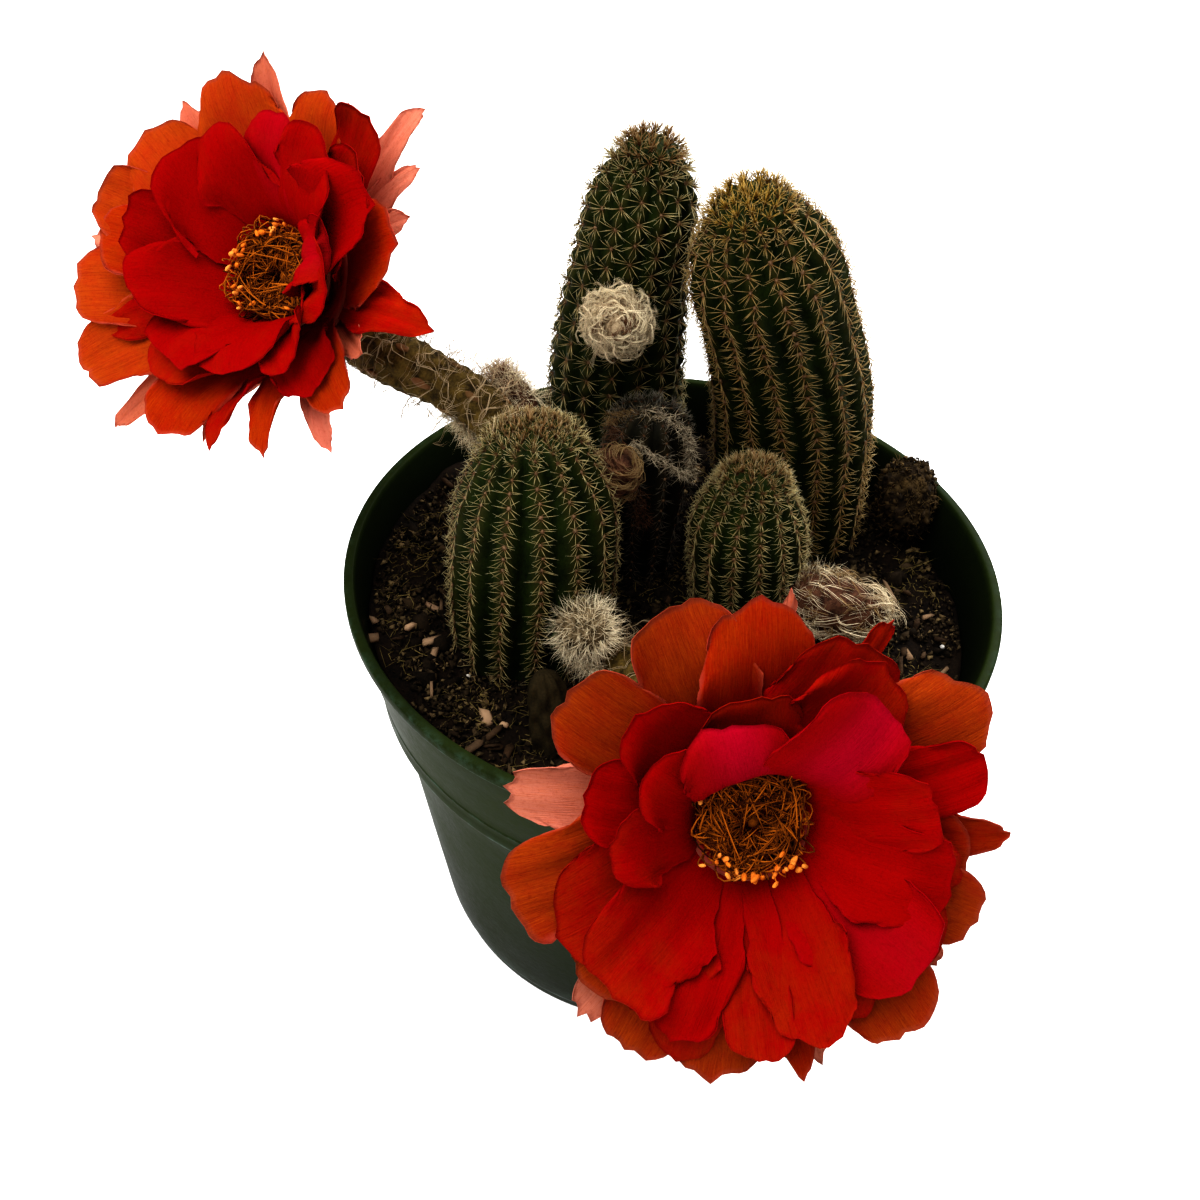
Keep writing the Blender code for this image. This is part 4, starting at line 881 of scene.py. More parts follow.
# Buds: root in the stem, tip and core radius, and how their hair lies: a look, then the numbers named here
lockKeys = ("guides", "lock", "low", "high", "length", "lift", "swirl", "wild", "radius", "points", "spread",
            "loose", "along")
tuftKeys = ("guides", "each", "low", "high", "length", "fan", "forward", "curl", "radius")
buds = {
    "bud_back_woolly": {
        "root": (-14.6, 21.5, 135.5), "tip": (-14.3, 8.2, 141.2), "radius": 5.2, "slot": "wool",
        "core": "cream",
        "locks": [("cream", 260, 6, 0.10, 0.97, 6.0, 1.2, 0.8, 0.36, 0.052, 6, 0.85, 0.16, 0.0),
                  ("brown", 16, 5, 0.90, 0.99, 4.0, 1.4, 0.9, 0.35, 0.060, 6, 0.80, 0.22, 0.0)],
        "tufts": [("cream", 150, 6, 0.10, 0.90, 2.8, 0.45, 0.2, 0.8, 0.040)]},
    "bud_middle_brown": {
        "root": (-14.4, -5.4, 117.0), "tip": (-10.0, -8.0, 124.4), "radius": 4.4, "slot": "bud_brown",
        "core": "brown",
        "locks": [("tan", 56, 3, 0.15, 0.97, 8.0, 0.8, 1.0, 0.16, 0.070, 7, 0.95, 0.30, 0.0),
                  ("brown", 60, 4, 0.40, 0.98, 5.0, 0.5, 1.0, 0.25, 0.060, 6, 0.95, 0.22, 0.0)],
        "tufts": []},
    "bud_top_pale": {
        "root": (-28.6, -1.0, 127.4), "tip": (-35.4, 4.8, 132.6), "radius": 3.0, "slot": "wool",
        "core": "brown",
        "locks": [],
        "tufts": [("cream", 150, 8, 0.20, 0.99, 3.9, 0.70, 0.1, 1.2, 0.042),
                  ("rust", 20, 10, 0.72, 0.92, 3.2, 0.50, 0.1, 0.9, 0.050)]},
    "bud_front_woolly": {
        "root": (-16.4, -25.6, 100.6), "tip": (-10.8, -33.6, 106.6), "radius": 4.4, "slot": "wool",
        "core": "dun",
        "locks": [],
        "tufts": [("white", 80, 12, 0.16, 0.99, 3.4, 0.30, 0.15, 0.8, 0.060),
                  ("green", 26, 8, 0.05, 0.34, 2.4, 0.35, 0.10, 0.4, 0.055)]},
    "bud_right_woolly": {
        "root": (24.0, -4.2, 93.6), "tip": (40.5, -10.8, 96.4), "radius": 5.7, "slot": "bud_brown",
        "core": "brown",
        "locks": [("cream", 80, 4, 0.10, 0.85, 10.0, 0.8, 0.25, 0.16, 0.045, 7, 0.60, 0.40, 0.55),
                  ("tan", 110, 4, 0.10, 0.90, 6.0, 0.5, 0.40, 0.22, 0.050, 6, 0.60, 0.22, 0.30)],
        "tufts": [("white", 60, 9, 0.02, 0.40, 3.2, 0.50, 0.5, 0.9, 0.045),
                  ("white", 26, 9, 0.80, 0.99, 2.6, 0.50, 0.3, 0.9, 0.045)]},
}
budColumns = 48
# root, body and odd strand colours
hairLooks = {
    "cream": ((0.240, 0.160, 0.078), (0.900, 0.780, 0.540), (0.200, 0.120, 0.065)),
    "white": ((0.300, 0.230, 0.130), (0.800, 0.700, 0.500), (0.260, 0.190, 0.100)),
    "grey": ((0.130, 0.100, 0.060), (0.600, 0.510, 0.360), (0.130, 0.095, 0.055)),
    "rust": ((0.090, 0.025, 0.014), (0.240, 0.080, 0.050), (0.300, 0.150, 0.090)),
    "green": ((0.060, 0.080, 0.030), (0.240, 0.270, 0.150), (0.060, 0.075, 0.025)),
    "tan": ((0.130, 0.080, 0.030), (0.330, 0.230, 0.110), (0.110, 0.050, 0.020)),
    "brown": ((0.070, 0.030, 0.015), (0.210, 0.110, 0.060), (0.070, 0.028, 0.016)),
}
coreLooks = {"cream": ((0.120, 0.078, 0.040), (0.460, 0.360, 0.230)),
             "dun": ((0.030, 0.022, 0.010), (0.170, 0.125, 0.070)),
             "brown": ((0.022, 0.010, 0.006), (0.110, 0.050, 0.028))}


def budSkin(spec):
    root, tip = np.array(spec["root"]), np.array(spec["tip"])
    outward = unit(tip - root)
    root = root - outward * 1.2
    t = np.linspace(0, 1, 40)[:, None]
    swell = np.sin(math.pi * (0.17 + 0.81 * t)) ** 0.6
    return skinOf(np.hstack([root + (tip - root) * t, spec["radius"] * swell]), 0.4)


def buildBuds():
    wools = {key: woolMaterial(key + "Hair", *look, 0.85) for key, look in hairLooks.items()}
    cores = {key: mottled(key + "Bud", "bud", *look) for key, look in coreLooks.items()}
    for name, spec in buds.items():
        rng = np.random.default_rng(len(name) * 11)
        skin = budSkin(spec)
        last = skin["arc"][-1]

        def scaly(arc, angle):
            # overlapping pointed scales in a spiral
            lap = np.sin(5 * angle + 0.9 * arc) * np.sin(0.9 * arc - 2 * angle)
            return 1 + 0.05 * lap * blendIn(arc, 0.5, 3) * (1 - blendIn(arc, last - 2, last))

        points, _ = ringedPoints(skin, budColumns, scaly)
        flat, faces = closedBody(points)
        addPiece(name + "_core", flat, faces, cores[spec["core"]], [name])
        made = [("locks", hairOn, lockKeys, entry) for entry in spec["locks"]]
        made += [("tufts", tuftsOn, tuftKeys, entry) for entry in spec["tufts"]]
        for number, (kind, maker, keys, (look, *style)) in enumerate(made):
            hair = maker(skin, dict(zip(keys, style)), rng)
            tint = rng.random(strandCount(hair)) ** 2
            addStrands(f"{name}_{look}_{kind}_{number}", hair, wools[look], tint)
    return wools


wools = buildBuds()

# Wool in bands: on the young stem's ribs, under the left tube's root and about the front bud, each as slot,
# look, count, length, band width, radius and line
fleeces = {
    "pup_top_fleece": ("stem_skin", "grey", 520, 2.2, 1.0, 0.050, [
        (-8.0, 8.0, 124.0), (-4.2, 7.4, 124.2), (-0.4, 6.8, 121.6), (1.4, 6.0, 117.0), (1.8, 5.4, 112.0)]),
    "pup_low_fleece": ("stem_skin", "grey", 340, 2.0, 0.9, 0.050, [
        (-9.4, 2.6, 121.0), (-6.0, 1.8, 119.4), (-2.0, 2.4, 116.6), (0.8, 4.0, 113.4)]),
    "pup_cap_fleece": ("stem_skin", "tan", 420, 2.0, 0.9, 0.050, [
        (-14.6, 8.6, 121.0), (-11.0, 8.4, 123.0), (-6.6, 8.0, 123.4)]),
    "pup_side_fleece": ("stem_skin", "brown", 700, 2.4, 1.6, 0.040, [
        (-13.6, 5.4, 121.6), (-9.0, 1.6, 113.0), (-6.5, 0.8, 104.0)]),
    "tube_root_fleece": ("tube_skin", "white", 700, 2.8, 1.0, 0.045, [
        (-42.0, -4.6, 129.2), (-38.4, -7.0, 127.0), (-34.6, -9.0, 124.6)]),
    "front_bud_fleece": ("wool", "white", 600, 3.2, 1.2, 0.050, [
        (-17.6, -29.0, 99.6), (-14.2, -31.4, 97.6), (-10.6, -33.0, 97.6)]),
}


def buildFleeces():
    rng = np.random.default_rng(31)
    for name, (slot, look, count, reach, width, radius, line) in fleeces.items():
        line = smoothRoute([(*point, 0) for point in line], 60)[:, :3]
        root = line[rng.integers(0, len(line), count)] + rng.normal(0, width * 0.45, (count, 3))
        tuft = np.round(6 * (root @ np.array([0.6, -0.5, 0.62])))
        lean = np.column_stack([np.sin(2.3 * tuft), -0.7 + 0.3 * np.cos(1.7 * tuft),
                                0.5 * np.cos(3.1 * tuft)])
        way = unit(lean + rng.normal(0, 0.45, (count, 3)))
        bend = unit(rng.normal(size=(count, 3))) * rng.uniform(0.1, 0.9, (count, 1))
        length = reach * rng.uniform(0.4, 1.2, (count, 1))
        paths = np.stack([root + way * length * t + bend * length * t * t for t in np.linspace(0, 1, 4)], 1)
        hair = hairLocks(paths, 1, 0.05, radius, rng)
        addStrands(name, hair, wools[look], rng.random(count) ** 2)


buildFleeces()
print("buds woolly")


# Blooms. Each petal is (row, degrees round the bloom from its right, reach, width, tone, arch in degrees if
# any); an arched one rises from the throat and rolls back.
blooms = {
    "left_bloom": {
        "centre": (-76.8, 0.0, 154.0), "faces": (-0.30, -0.72, 0.62),
        "tube": [(-31.0, -8.4, 126.5, 3.9), (-36.4, -4.6, 130.6, 4.1), (-46, -1.5, 133.8, 4.5),
                 (-56, 2.6, 135.6, 5.0), (-64.5, 9.6, 137.6, 5.4)],
        "tubeHairs": 310, "antherArc": (70, 250), "strays": 5, "throat": (5.6, -2.0), "oval": (180, 0.28),
        # painted light: the left bloom's orange blades are brightened by this share
        "light": 0.32,
        "petals": [
            ("sepals", 50, 38, 0.62, "salmon"), ("sepals", 102, 33, 0.80, "peach"),
            ("sepals", 72, 29, 0.28, "dusty"), ("sepals", 141, 31, 0.95, "peach"),
            ("sepals", 189, 34, 0.85, "salmon"), ("sepals", 242, 41, 0.62, "peach"),
            ("sepals", 272, 32, 1.00, "peach"), ("sepals", 314, 36, 0.55, "dusty"),
            ("sepals", 341, 31, 0.85, "peach"), ("sepals", 41, 32, 0.55, "salmon"),
            ("sepals", 28, 29, 0.60, "salmon"),
            ("outer", 15, 31, 0.98, "flame"), ("outer", 53, 33, 0.74, "scarlet"),
            ("outer", 77, 28, 0.88, "orange", -8), ("outer", 117, 29, 1.02, "orange"),
            ("outer", 155, 29, 1.02, "orange"), ("outer", 177, 31, 0.80, "orange"),
            ("outer", 207, 35, 0.98, "orange"), ("outer", 228, 38, 0.84, "orange"),
            ("outer", 262, 34, 0.84, "flame"), ("pointed", 301, 35, 0.64, "flame"),
            ("outer", 327, 32, 0.62, "flame"), ("pointed", 357, 38, 0.84, "scarlet"),
            ("middle", 190, 28, 0.90, "flame"), ("pointed", 219, 31, 0.90, "scarlet"),
            ("pointed", 283, 33, 0.80, "scarlet"), ("middle", 256, 26, 0.95, "scarlet"),
            ("middle", 318, 28, 0.85, "crimson", 4), ("middle", 31, 30, 1.00, "crimson", 12),
            ("inner", 49, 27, 1.20, "crimson", 18), ("inner", 78, 23, 1.05, "rose", 16),
            ("inner", 108, 19, 1.10, "crimson", 6), ("inner", 145, 18, 1.35, "crimson", -4),
            ("inner", 186, 20, 1.05, "crimson", -12), ("inner", 222, 20, 1.15, "crimson"),
            ("inner", 258, 21, 1.20, "crimson", 4), ("inner", 298, 22, 1.45, "crimson", 10),
            ("inner", 327, 25, 0.95, "crimson", 5), ("inner", 352, 26, 1.00, "crimson", 8),
            ("inner", 11, 24, 0.80, "rose", 22), ("inner", 24, 29, 1.15, "crimson", 16)]},
    "front_bloom": {
        "centre": (16.6, -79.9, 115.0), "faces": (0.05, -0.80, 0.60),
        "tube": [(-12.4, -22.0, 91.6, 3.9), (-6.2, -31.0, 96.4, 4.0), (1.4, -43.5, 100.8, 4.2),
                 (9.0, -55.0, 104.4, 4.8)],
        "tubeHairs": 150, "antherArc": (215, 335), "strays": 1, "throat": (-1.4, 2.2), "oval": (95, 0.55),
        "light": 0.0,
        "petals": [
            ("sepals", 62, 36, 0.45, "scarlet"), ("sepals", 91, 35, 0.30, "peach"),
            ("sepals", 104, 33, 0.60, "peach"), ("sepals", 169, 37, 1.20, "salmon"),
            ("sepals", 229, 36, 1.10, "salmon"), ("sepals", 292, 33, 1.05, "salmon"),
            ("sepals", 330, 31, 1.00, "peach"),
            ("pointed", 8, 34, 0.95, "flame"), ("outer", 40, 36, 0.92, "orange"),
            ("outer", 70, 32, 0.95, "scarlet"), ("outer", 93, 34, 1.00, "flame"),
            ("outer", 115, 36, 1.00, "orange"), ("outer", 144, 35, 0.90, "orange"),
            ("outer", 191, 36, 0.92, "orange"), ("outer", 215, 31, 0.80, "orange"),
            ("outer", 241, 34, 0.78, "orange"), ("outer", 261, 33, 0.92, "orange"),
            ("pointed", 283, 32, 1.00, "flame"), ("outer", 316, 33, 0.86, "orange"),
            ("outer", 345, 31, 0.80, "orange"), ("outer", 3, 28, 0.80, "flame"),
            ("middle", 29, 32, 0.70, "crimson"), ("middle", 359, 26, 0.85, "scarlet"),
            ("middle", 331, 27, 1.05, "scarlet"), ("middle", 305, 26, 0.85, "scarlet"),
            ("pointed", 279, 30, 0.90, "scarlet"), ("middle", 251, 31, 0.74, "scarlet"),
            ("middle", 232, 28, 0.90, "scarlet"), ("middle", 207, 30, 1.05, "scarlet"),
            ("middle", 169, 26, 0.80, "crimson"), ("middle", 135, 27, 0.90, "crimson"),
            ("middle", 96, 22, 1.00, "scarlet"), ("middle", 62, 30, 0.95, "scarlet"),
            ("inner", 55, 30, 1.05, "magenta", 36), ("inner", 103, 24, 1.15, "magenta", 48),
            ("inner", 144, 21, 0.90, "crimson", 12), ("inner", 176, 21, 0.90, "crimson", 4),
            ("inner", 217, 28, 1.20, "scarlet"), ("inner", 248, 27, 0.75, "crimson", -8),
            ("inner", 269, 27, 0.70, "scarlet", -8), ("inner", 293, 26, 0.95, "scarlet"),
            ("inner", 328, 26, 1.30, "rose", 4), ("inner", 0, 25, 1.10, "crimson", 8),
            ("inner", 26, 25, 0.95, "crimson", 14)]},
}
# base and tip are (reach, height) and height; curl bends the blade out, cup lifts its edges, claw is its
# root's width, taper narrows its end, blunt and round shape the tip's arc
petalKeys = ("base", "tip", "half", "curl", "cup", "twist", "wave", "claw", "taper", "blunt", "round")
petalRows = {
    "sepals": ((8.0, -11.6), -3.6, 5.4, 1.7, 0.10, 6, 0.5, 0.55, 0.40, 1.10, 1.3),
    "pointed": ((8.8, -10.0), 0.6, 5.6, 1.8, 0.16, 10, 1.0, 0.50, 0.42, 1.20, 1.5),
    "outer": ((8.8, -10.4), 0.0, 8.4, 1.8, 0.12, 7, 0.8, 0.40, 0.10, 0.72, 2.2),
    "middle": ((9.0, -9.2), 2.2, 7.8, 1.9, 0.14, 7, 0.9, 0.42, 0.12, 0.65, 2.2),
    "inner": ((6.0, -9.0), 5.6, 7.2, 1.5, 0.18, 7, 0.8, 0.48, 0.12, 0.60, 2.3),
}
# how far each tone goes from orange towards crimson, pale salmon and magenta; the magenta share is partly the
# blades' own colour and partly painted sheen
petalTones = {"orange": (0.00, 0.02, 0.0), "flame": (0.40, 0.0, 0.0), "scarlet": (0.72, 0.0, 0.0),
              "crimson": (0.95, 0.0, 0.0), "magenta": (0.95, 0.0, 0.85), "rose": (0.92, 0.0, 0.35),
              "salmon": (0.15, 0.85, 0.0), "peach": (0.15, 0.5, 0.0), "dusty": (0.6, 0.7, 0.1)}
petalLook = {"thickness": 0.34, "across": 16, "along": 26,
             "orange": (0.275, 0.036, 0.001), "crimson": (0.285, 0.0006, 0.0006),
             "pale": (0.630, 0.250, 0.170), "magenta": (0.350, 0.001, 0.022), "fleck": (0.500, 0.098, 0.006),
             "veins": (0.60, 0.36, 0.32), "grain": (0.66, 0.48, 0.45)}
cupColumns = 40
cupFoot = -15.4
cupProfiles = {
    "outer": [(0.3, -12.2), (5.2, -12.2), (7.6, -10.4), (11.2, -6.4), (12.6, -7.0), (9.4, -11.2),
              (6.4, cupFoot), (0.3, cupFoot)],
    "inner": [(0.3, -9.8), (3.6, -9.8), (4.8, -9.0), (7.4, -5.6), (8.8, -6.1), (6.6, -10.0), (4.9, -11.9),
              (0.3, -11.9)],
}


def bloomAxes(spec):
    faces = unit(np.array(spec["faces"], float))
    right = unit(np.cross([0, 0, 1.0], faces))
    return np.array(spec["centre"], float), np.array([right, np.cross(faces, right), faces])


def toWorld(points, spec):
    centre, axes = bloomAxes(spec)
    return centre + points @ axes


def petalMaterial():
    material, tree, shader = newMaterial("petal", 0.6, 0.02)
    across, along, tint, crimson = (field(tree, name) for name in ("across", "along", "tint", "crimson"))
    flow = addNode(tree, "ShaderNodeCombineXYZ", X=times(tree, across, 15.0), Y=times(tree, along, 1.6),
                   Z=times(tree, tint, 40.0)).outputs[0]
    place = addNode(tree, "ShaderNodeTexCoord").outputs["Object"]
    veins = noiseOn(tree, flow, 2.6, 6.0, 0.68)
    fleck = noiseOn(tree, flow, 7.0, 4.0, 0.7)
    blotch = noiseOn(tree, place, 200.0, 5.0, 0.65)
    speck = noiseOn(tree, place, 2100.0, 3.0, 0.7)
    redder = maths(tree, "ADD", crimson, times(tree, rampUp(tree, blotch, 0.42, 3.0), 0.38), clamp=True)
    body = mixColour(tree, redder, petalLook["orange"], petalLook["crimson"])
    pallor = times(tree, field(tree, "pale"), times(tree, veins, 1.6, clamp=True))
    body = mixColour(tree, pallor, body, petalLook["pale"])
    # magenta over the colour: partly the blades' own pinker colour, partly painted sheen
    body = mixColour(tree, field(tree, "magenta"), body, petalLook["magenta"])
    fading = maths(tree, "SUBTRACT", 0.50, times(tree, crimson, 0.25))
    lines = times(tree, rampUp(tree, veins, 0.48, 6.0), fading)
    body = mixColour(tree, lines, body, petalLook["veins"], "MULTIPLY")
    grain = times(tree, rampUp(tree, speck, 0.5, 3.0), 0.75)
    body = mixColour(tree, grain, body, petalLook["grain"], "MULTIPLY")
    # painted light: where the light field is set, the colour is added to itself
    body = mixColour(tree, field(tree, "light"), body, body, "ADD")
    plain = maths(tree, "SUBTRACT", 0.62, times(tree, crimson, 0.70), clamp=True)
    body = mixColour(tree, times(tree, rampUp(tree, fleck, 0.50, 4.0), plain), body, petalLook["fleck"])
    colourTo(tree, shader, body)
    bumpTo(tree, shader, maths(tree, "ADD", veins, times(tree, speck, 0.25)), 0.45, 0.0006)
    return material


def throatScale(spec, azimuth):
    # an oval throat opens further towards one side
    side, more = spec["oval"]
    return 1 + more * np.maximum(np.cos(azimuth - math.radians(side)), 0) ** 1.5


def petalSheet(petal, spec, rng):
    # the blade's two faces and its fields, in the bloom's own frame
    rowName, azimuth, reach, wideness, tone, arch = (*petal, 0)[:6]
    row = dict(zip(petalKeys, petalRows[rowName]))
    wide, long = petalLook["across"], petalLook["along"]
    phase, tint, skew = fullTurn * rng.random(), rng.random(), rng.normal(0, 0.10)
    rough = rng.uniform(0.6, 1.5)
    u, s = np.meshgrid(np.sin(math.pi / 2 * np.linspace(-1, 1, wide + 1)), np.linspace(0, 1, long + 1) ** 0.9)
    width = row["claw"] + (1 - row["claw"]) * np.sin(math.pi / 2 * np.minimum(s / 0.66, 1))
    width = width - row["taper"] * blendIn(s, 0.60, 1.0)
    frill = (0.040 * np.sin(9 * s + phase) + 0.022 * np.sin(25 * s + 2 * phase + 2 * u)
             + 0.012 * np.sin(57 * s + u))
    full = row["half"] * wideness
    half = full * width * (1 + rough * frill * np.abs(u) + skew * u * s)
    v = half * u / full
    # the tip's outline: a blunt arc with lobes, fine teeth and a nib
    baseReach, baseHeight = row["base"]
    if rowName == "inner":
        baseReach = baseReach * throatScale(spec, math.radians(azimuth))
    arc = 1 - np.sqrt(np.maximum(1 - np.abs(u) ** row["round"], 0))
    tipward = blendIn(s, 0.25, 1.0)
    lobes = (0.020 * np.sin(4.3 * u + phase) + 0.012 * np.sin(10 * u + 3 * phase)
             + 0.006 * np.sin(27 * u + phase)) * min(1, wideness) ** 1.5
    nib = 0.020 * np.exp(-(u / 0.07) ** 2) * blendIn(s, 0.90, 1.0)
    along = s - full * row["blunt"] / (reach - baseReach) * arc * tipward
    along = along + rough * lobes * blendIn(s, 0.6, 1.0) + nib
    curve = np.linspace(0, 1.12, 90)
    steps = np.column_stack([(reach - baseReach) * curve,
                             (row["tip"] - baseHeight) * (1 - np.maximum(1 - curve, 0) ** row["curl"])])
    moved = np.diff(steps, axis=0)
    # an arched blade rises first and rolls back at the tip
    bend = math.radians(arch) * np.cos(math.pi * curve[1:]) + math.radians(rng.normal(4, 10)) * curve[1:] ** 2
    turned = np.column_stack([moved[:, 0] * np.cos(bend) - moved[:, 1] * np.sin(bend),
                              moved[:, 0] * np.sin(bend) + moved[:, 1] * np.cos(bend)])
    spine = np.vstack([[0, 0], np.cumsum(turned, axis=0)]) + [baseReach, baseHeight]
    tangent = unit(np.gradient(spine, axis=0))
    out = np.interp(along, curve, spine[:, 0])
    height = np.interp(along, curve, spine[:, 1])
    lean = np.interp(along, curve, np.arctan2(tangent[:, 1], tangent[:, 0]))
    twist = math.radians(row["twist"] * rng.uniform(-0.4, 2.0))
    lift = row["cup"] * rng.uniform(-0.2, 1.8) * full * v * v + math.sin(twist) * half * u
    ripple = np.sin(2.6 * math.pi * s + phase + 1.9 * v) * (0.35 + 0.65 * np.abs(v))
    lift = lift + row["wave"] * s * s * ripple
    pleat = 0.20 * np.cos(3.3 * math.pi * v + phase) + 0.13 * np.cos(8.3 * math.pi * v + 2 * phase + 3 * s)
    lift = lift + pleat * blendIn(s, 0.1, 0.5) - 0.16 * np.exp(-(v / 0.10) ** 2) * blendIn(s, 0, 0.3)
    lift = lift + rough * 0.55 * np.sin(9 * s + phase) * np.abs(v) ** 3
    lift = lift + rough * 0.5 * np.sin(5 * s + 2.2 * v + 2 * phase) * s
    out = out - np.sin(lean) * lift
    height = height + np.cos(lean) * lift
    sway = rng.normal(0, 0.9) * s * s
    turn = math.radians(azimuth)
    spin = np.array([[math.cos(turn), math.sin(turn), 0], [-math.sin(turn), math.cos(turn), 0], [0, 0, 1]])
    middle = np.stack([out, half * u + sway, height], -1) @ spin
    middle = middle + np.array([*spec["throat"], 0.0]) * ((1 - np.clip(along, 0, 1)) ** 1.5)[..., None]
    normal = unit(np.cross(np.gradient(middle, axis=1), np.gradient(middle, axis=0)))
    thick = petalLook["thickness"] / 2 * (1 - 0.5 * s[..., None] ** 3)
    count = (wide + 1) * (long + 1)
    points = np.vstack([(middle + normal * thick).reshape(-1, 3), (middle - normal * thick).reshape(-1, 3)])
    front = gridFaces(long + 1, wide + 1, False)
    border = np.concatenate([np.arange(wide), (wide + 1) * np.arange(long) + wide,
                             count - 1 - np.arange(wide), count - 1 - wide - (wide + 1) * np.arange(long)])
    after = np.roll(border, -1)
    rim = np.stack([border, border + count, after + count, after], -1)
    edge = np.maximum(blendIn(np.abs(u), 0.93, 1.0), blendIn(s, 0.96, 1.0))
    red, pallor, pinkAndSheen = petalTones[tone]
    # towards its base each blade turns crimson: painted shade where the blades overlap
    crimson = red + (1 - red) * 0.75 * blendIn(1 - s, 0.35, 0.85)
    crimson = crimson - 0.45 * red * (1 - red) * blendIn(s, 0.5, 1.0)
    crimson = crimson + 0.30 * (1 - red) * blendIn(np.abs(u), 0.72, 1.0)
    crimson = np.clip(crimson + rng.normal(0, 0.05) + 0.10 * np.sin(4 * v + phase) * (1 - red), 0, 1)
    pale = np.clip(pallor * (0.6 + 0.5 * s) + 0.20 * edge * (red < 0.6), 0, 1)
    # the magenta share: the blade's own pinker colour, with painted sheen growing towards the tip, and a
    # little pink on every edge
    magenta = np.clip(pinkAndSheen * blendIn(s, 0.15, 0.55) * (0.55 + 0.45 * np.cos(3 * v)) + 0.10 * edge, 0, 1)
    # the light field is painted light: the bloom's brightening, less where the blade is crimson
    fields = {"across": v * wideness, "along": s, "tint": np.full_like(u, tint), "crimson": crimson,
              "pale": pale, "magenta": magenta, "light": spec["light"] * (1 - crimson)}
    doubled = {key: np.tile(value.ravel(), 2) for key, value in fields.items()}
    return points, [front[:, ::-1], front + count, rim], doubled


def cupSheet(profile, throat):
    profile = np.array(profile)
    angle = fullTurn * np.arange(cupColumns) / cupColumns
    points = np.stack([profile[:, :1] * np.cos(angle), profile[:, :1] * np.sin(angle),
                       profile[:, 1:] + 0 * angle], -1)
    flat, faces = closedBody(points)
    flat[:, :2] += np.array(throat) * blendIn(flat[:, 2:], -15.0, -9.5)
    none = np.zeros(len(flat))
    # the second half of the profile is the cup's outside
    outside = np.append(np.repeat(np.arange(len(profile)) >= len(profile) // 2, len(angle)), [0, 1])
    fields = {"across": none, "along": none, "tint": none, "crimson": 1 - 0.4 * outside,
              "pale": 0.75 * outside, "magenta": none, "light": none}
    return flat, [quads[:, ::-1] for quads in faces], fields


def joinSheets(sheets):
    # one mesh out of many sheets
    points, byWidth, fields, first = [], {}, {}, 0
    for sheetPoints, faceSets, sheetFields in sheets:
        points.append(sheetPoints)
        for faces in faceSets:
            byWidth.setdefault(faces.shape[1], []).append(faces + first)
        for key, value in sheetFields.items():
            fields.setdefault(key, []).append(value)
        first += len(sheetPoints)
    faceSets = [np.vstack(faces) for faces in byWidth.values()]
    return np.vstack(points), faceSets, {key: np.concatenate(value) for key, value in fields.items()}


stamenLook = {"filaments": 620, "anthers": 26, "radius": 0.13, "steps": np.linspace(0, 1, 6)}
tubeLook = {"columns": 44, "scales": 26, "scale": (1.9, 0.75, 0.35),
            "hair": {"lock": 2, "low": 0.02, "high": 0.93, "length": 13.0, "lift": 2.4, "swirl": 0.7,
                     "wild": 0.5, "radius": 0.055, "points": 9, "spread": 0.6, "loose": 0.22, "along": 0.0}}


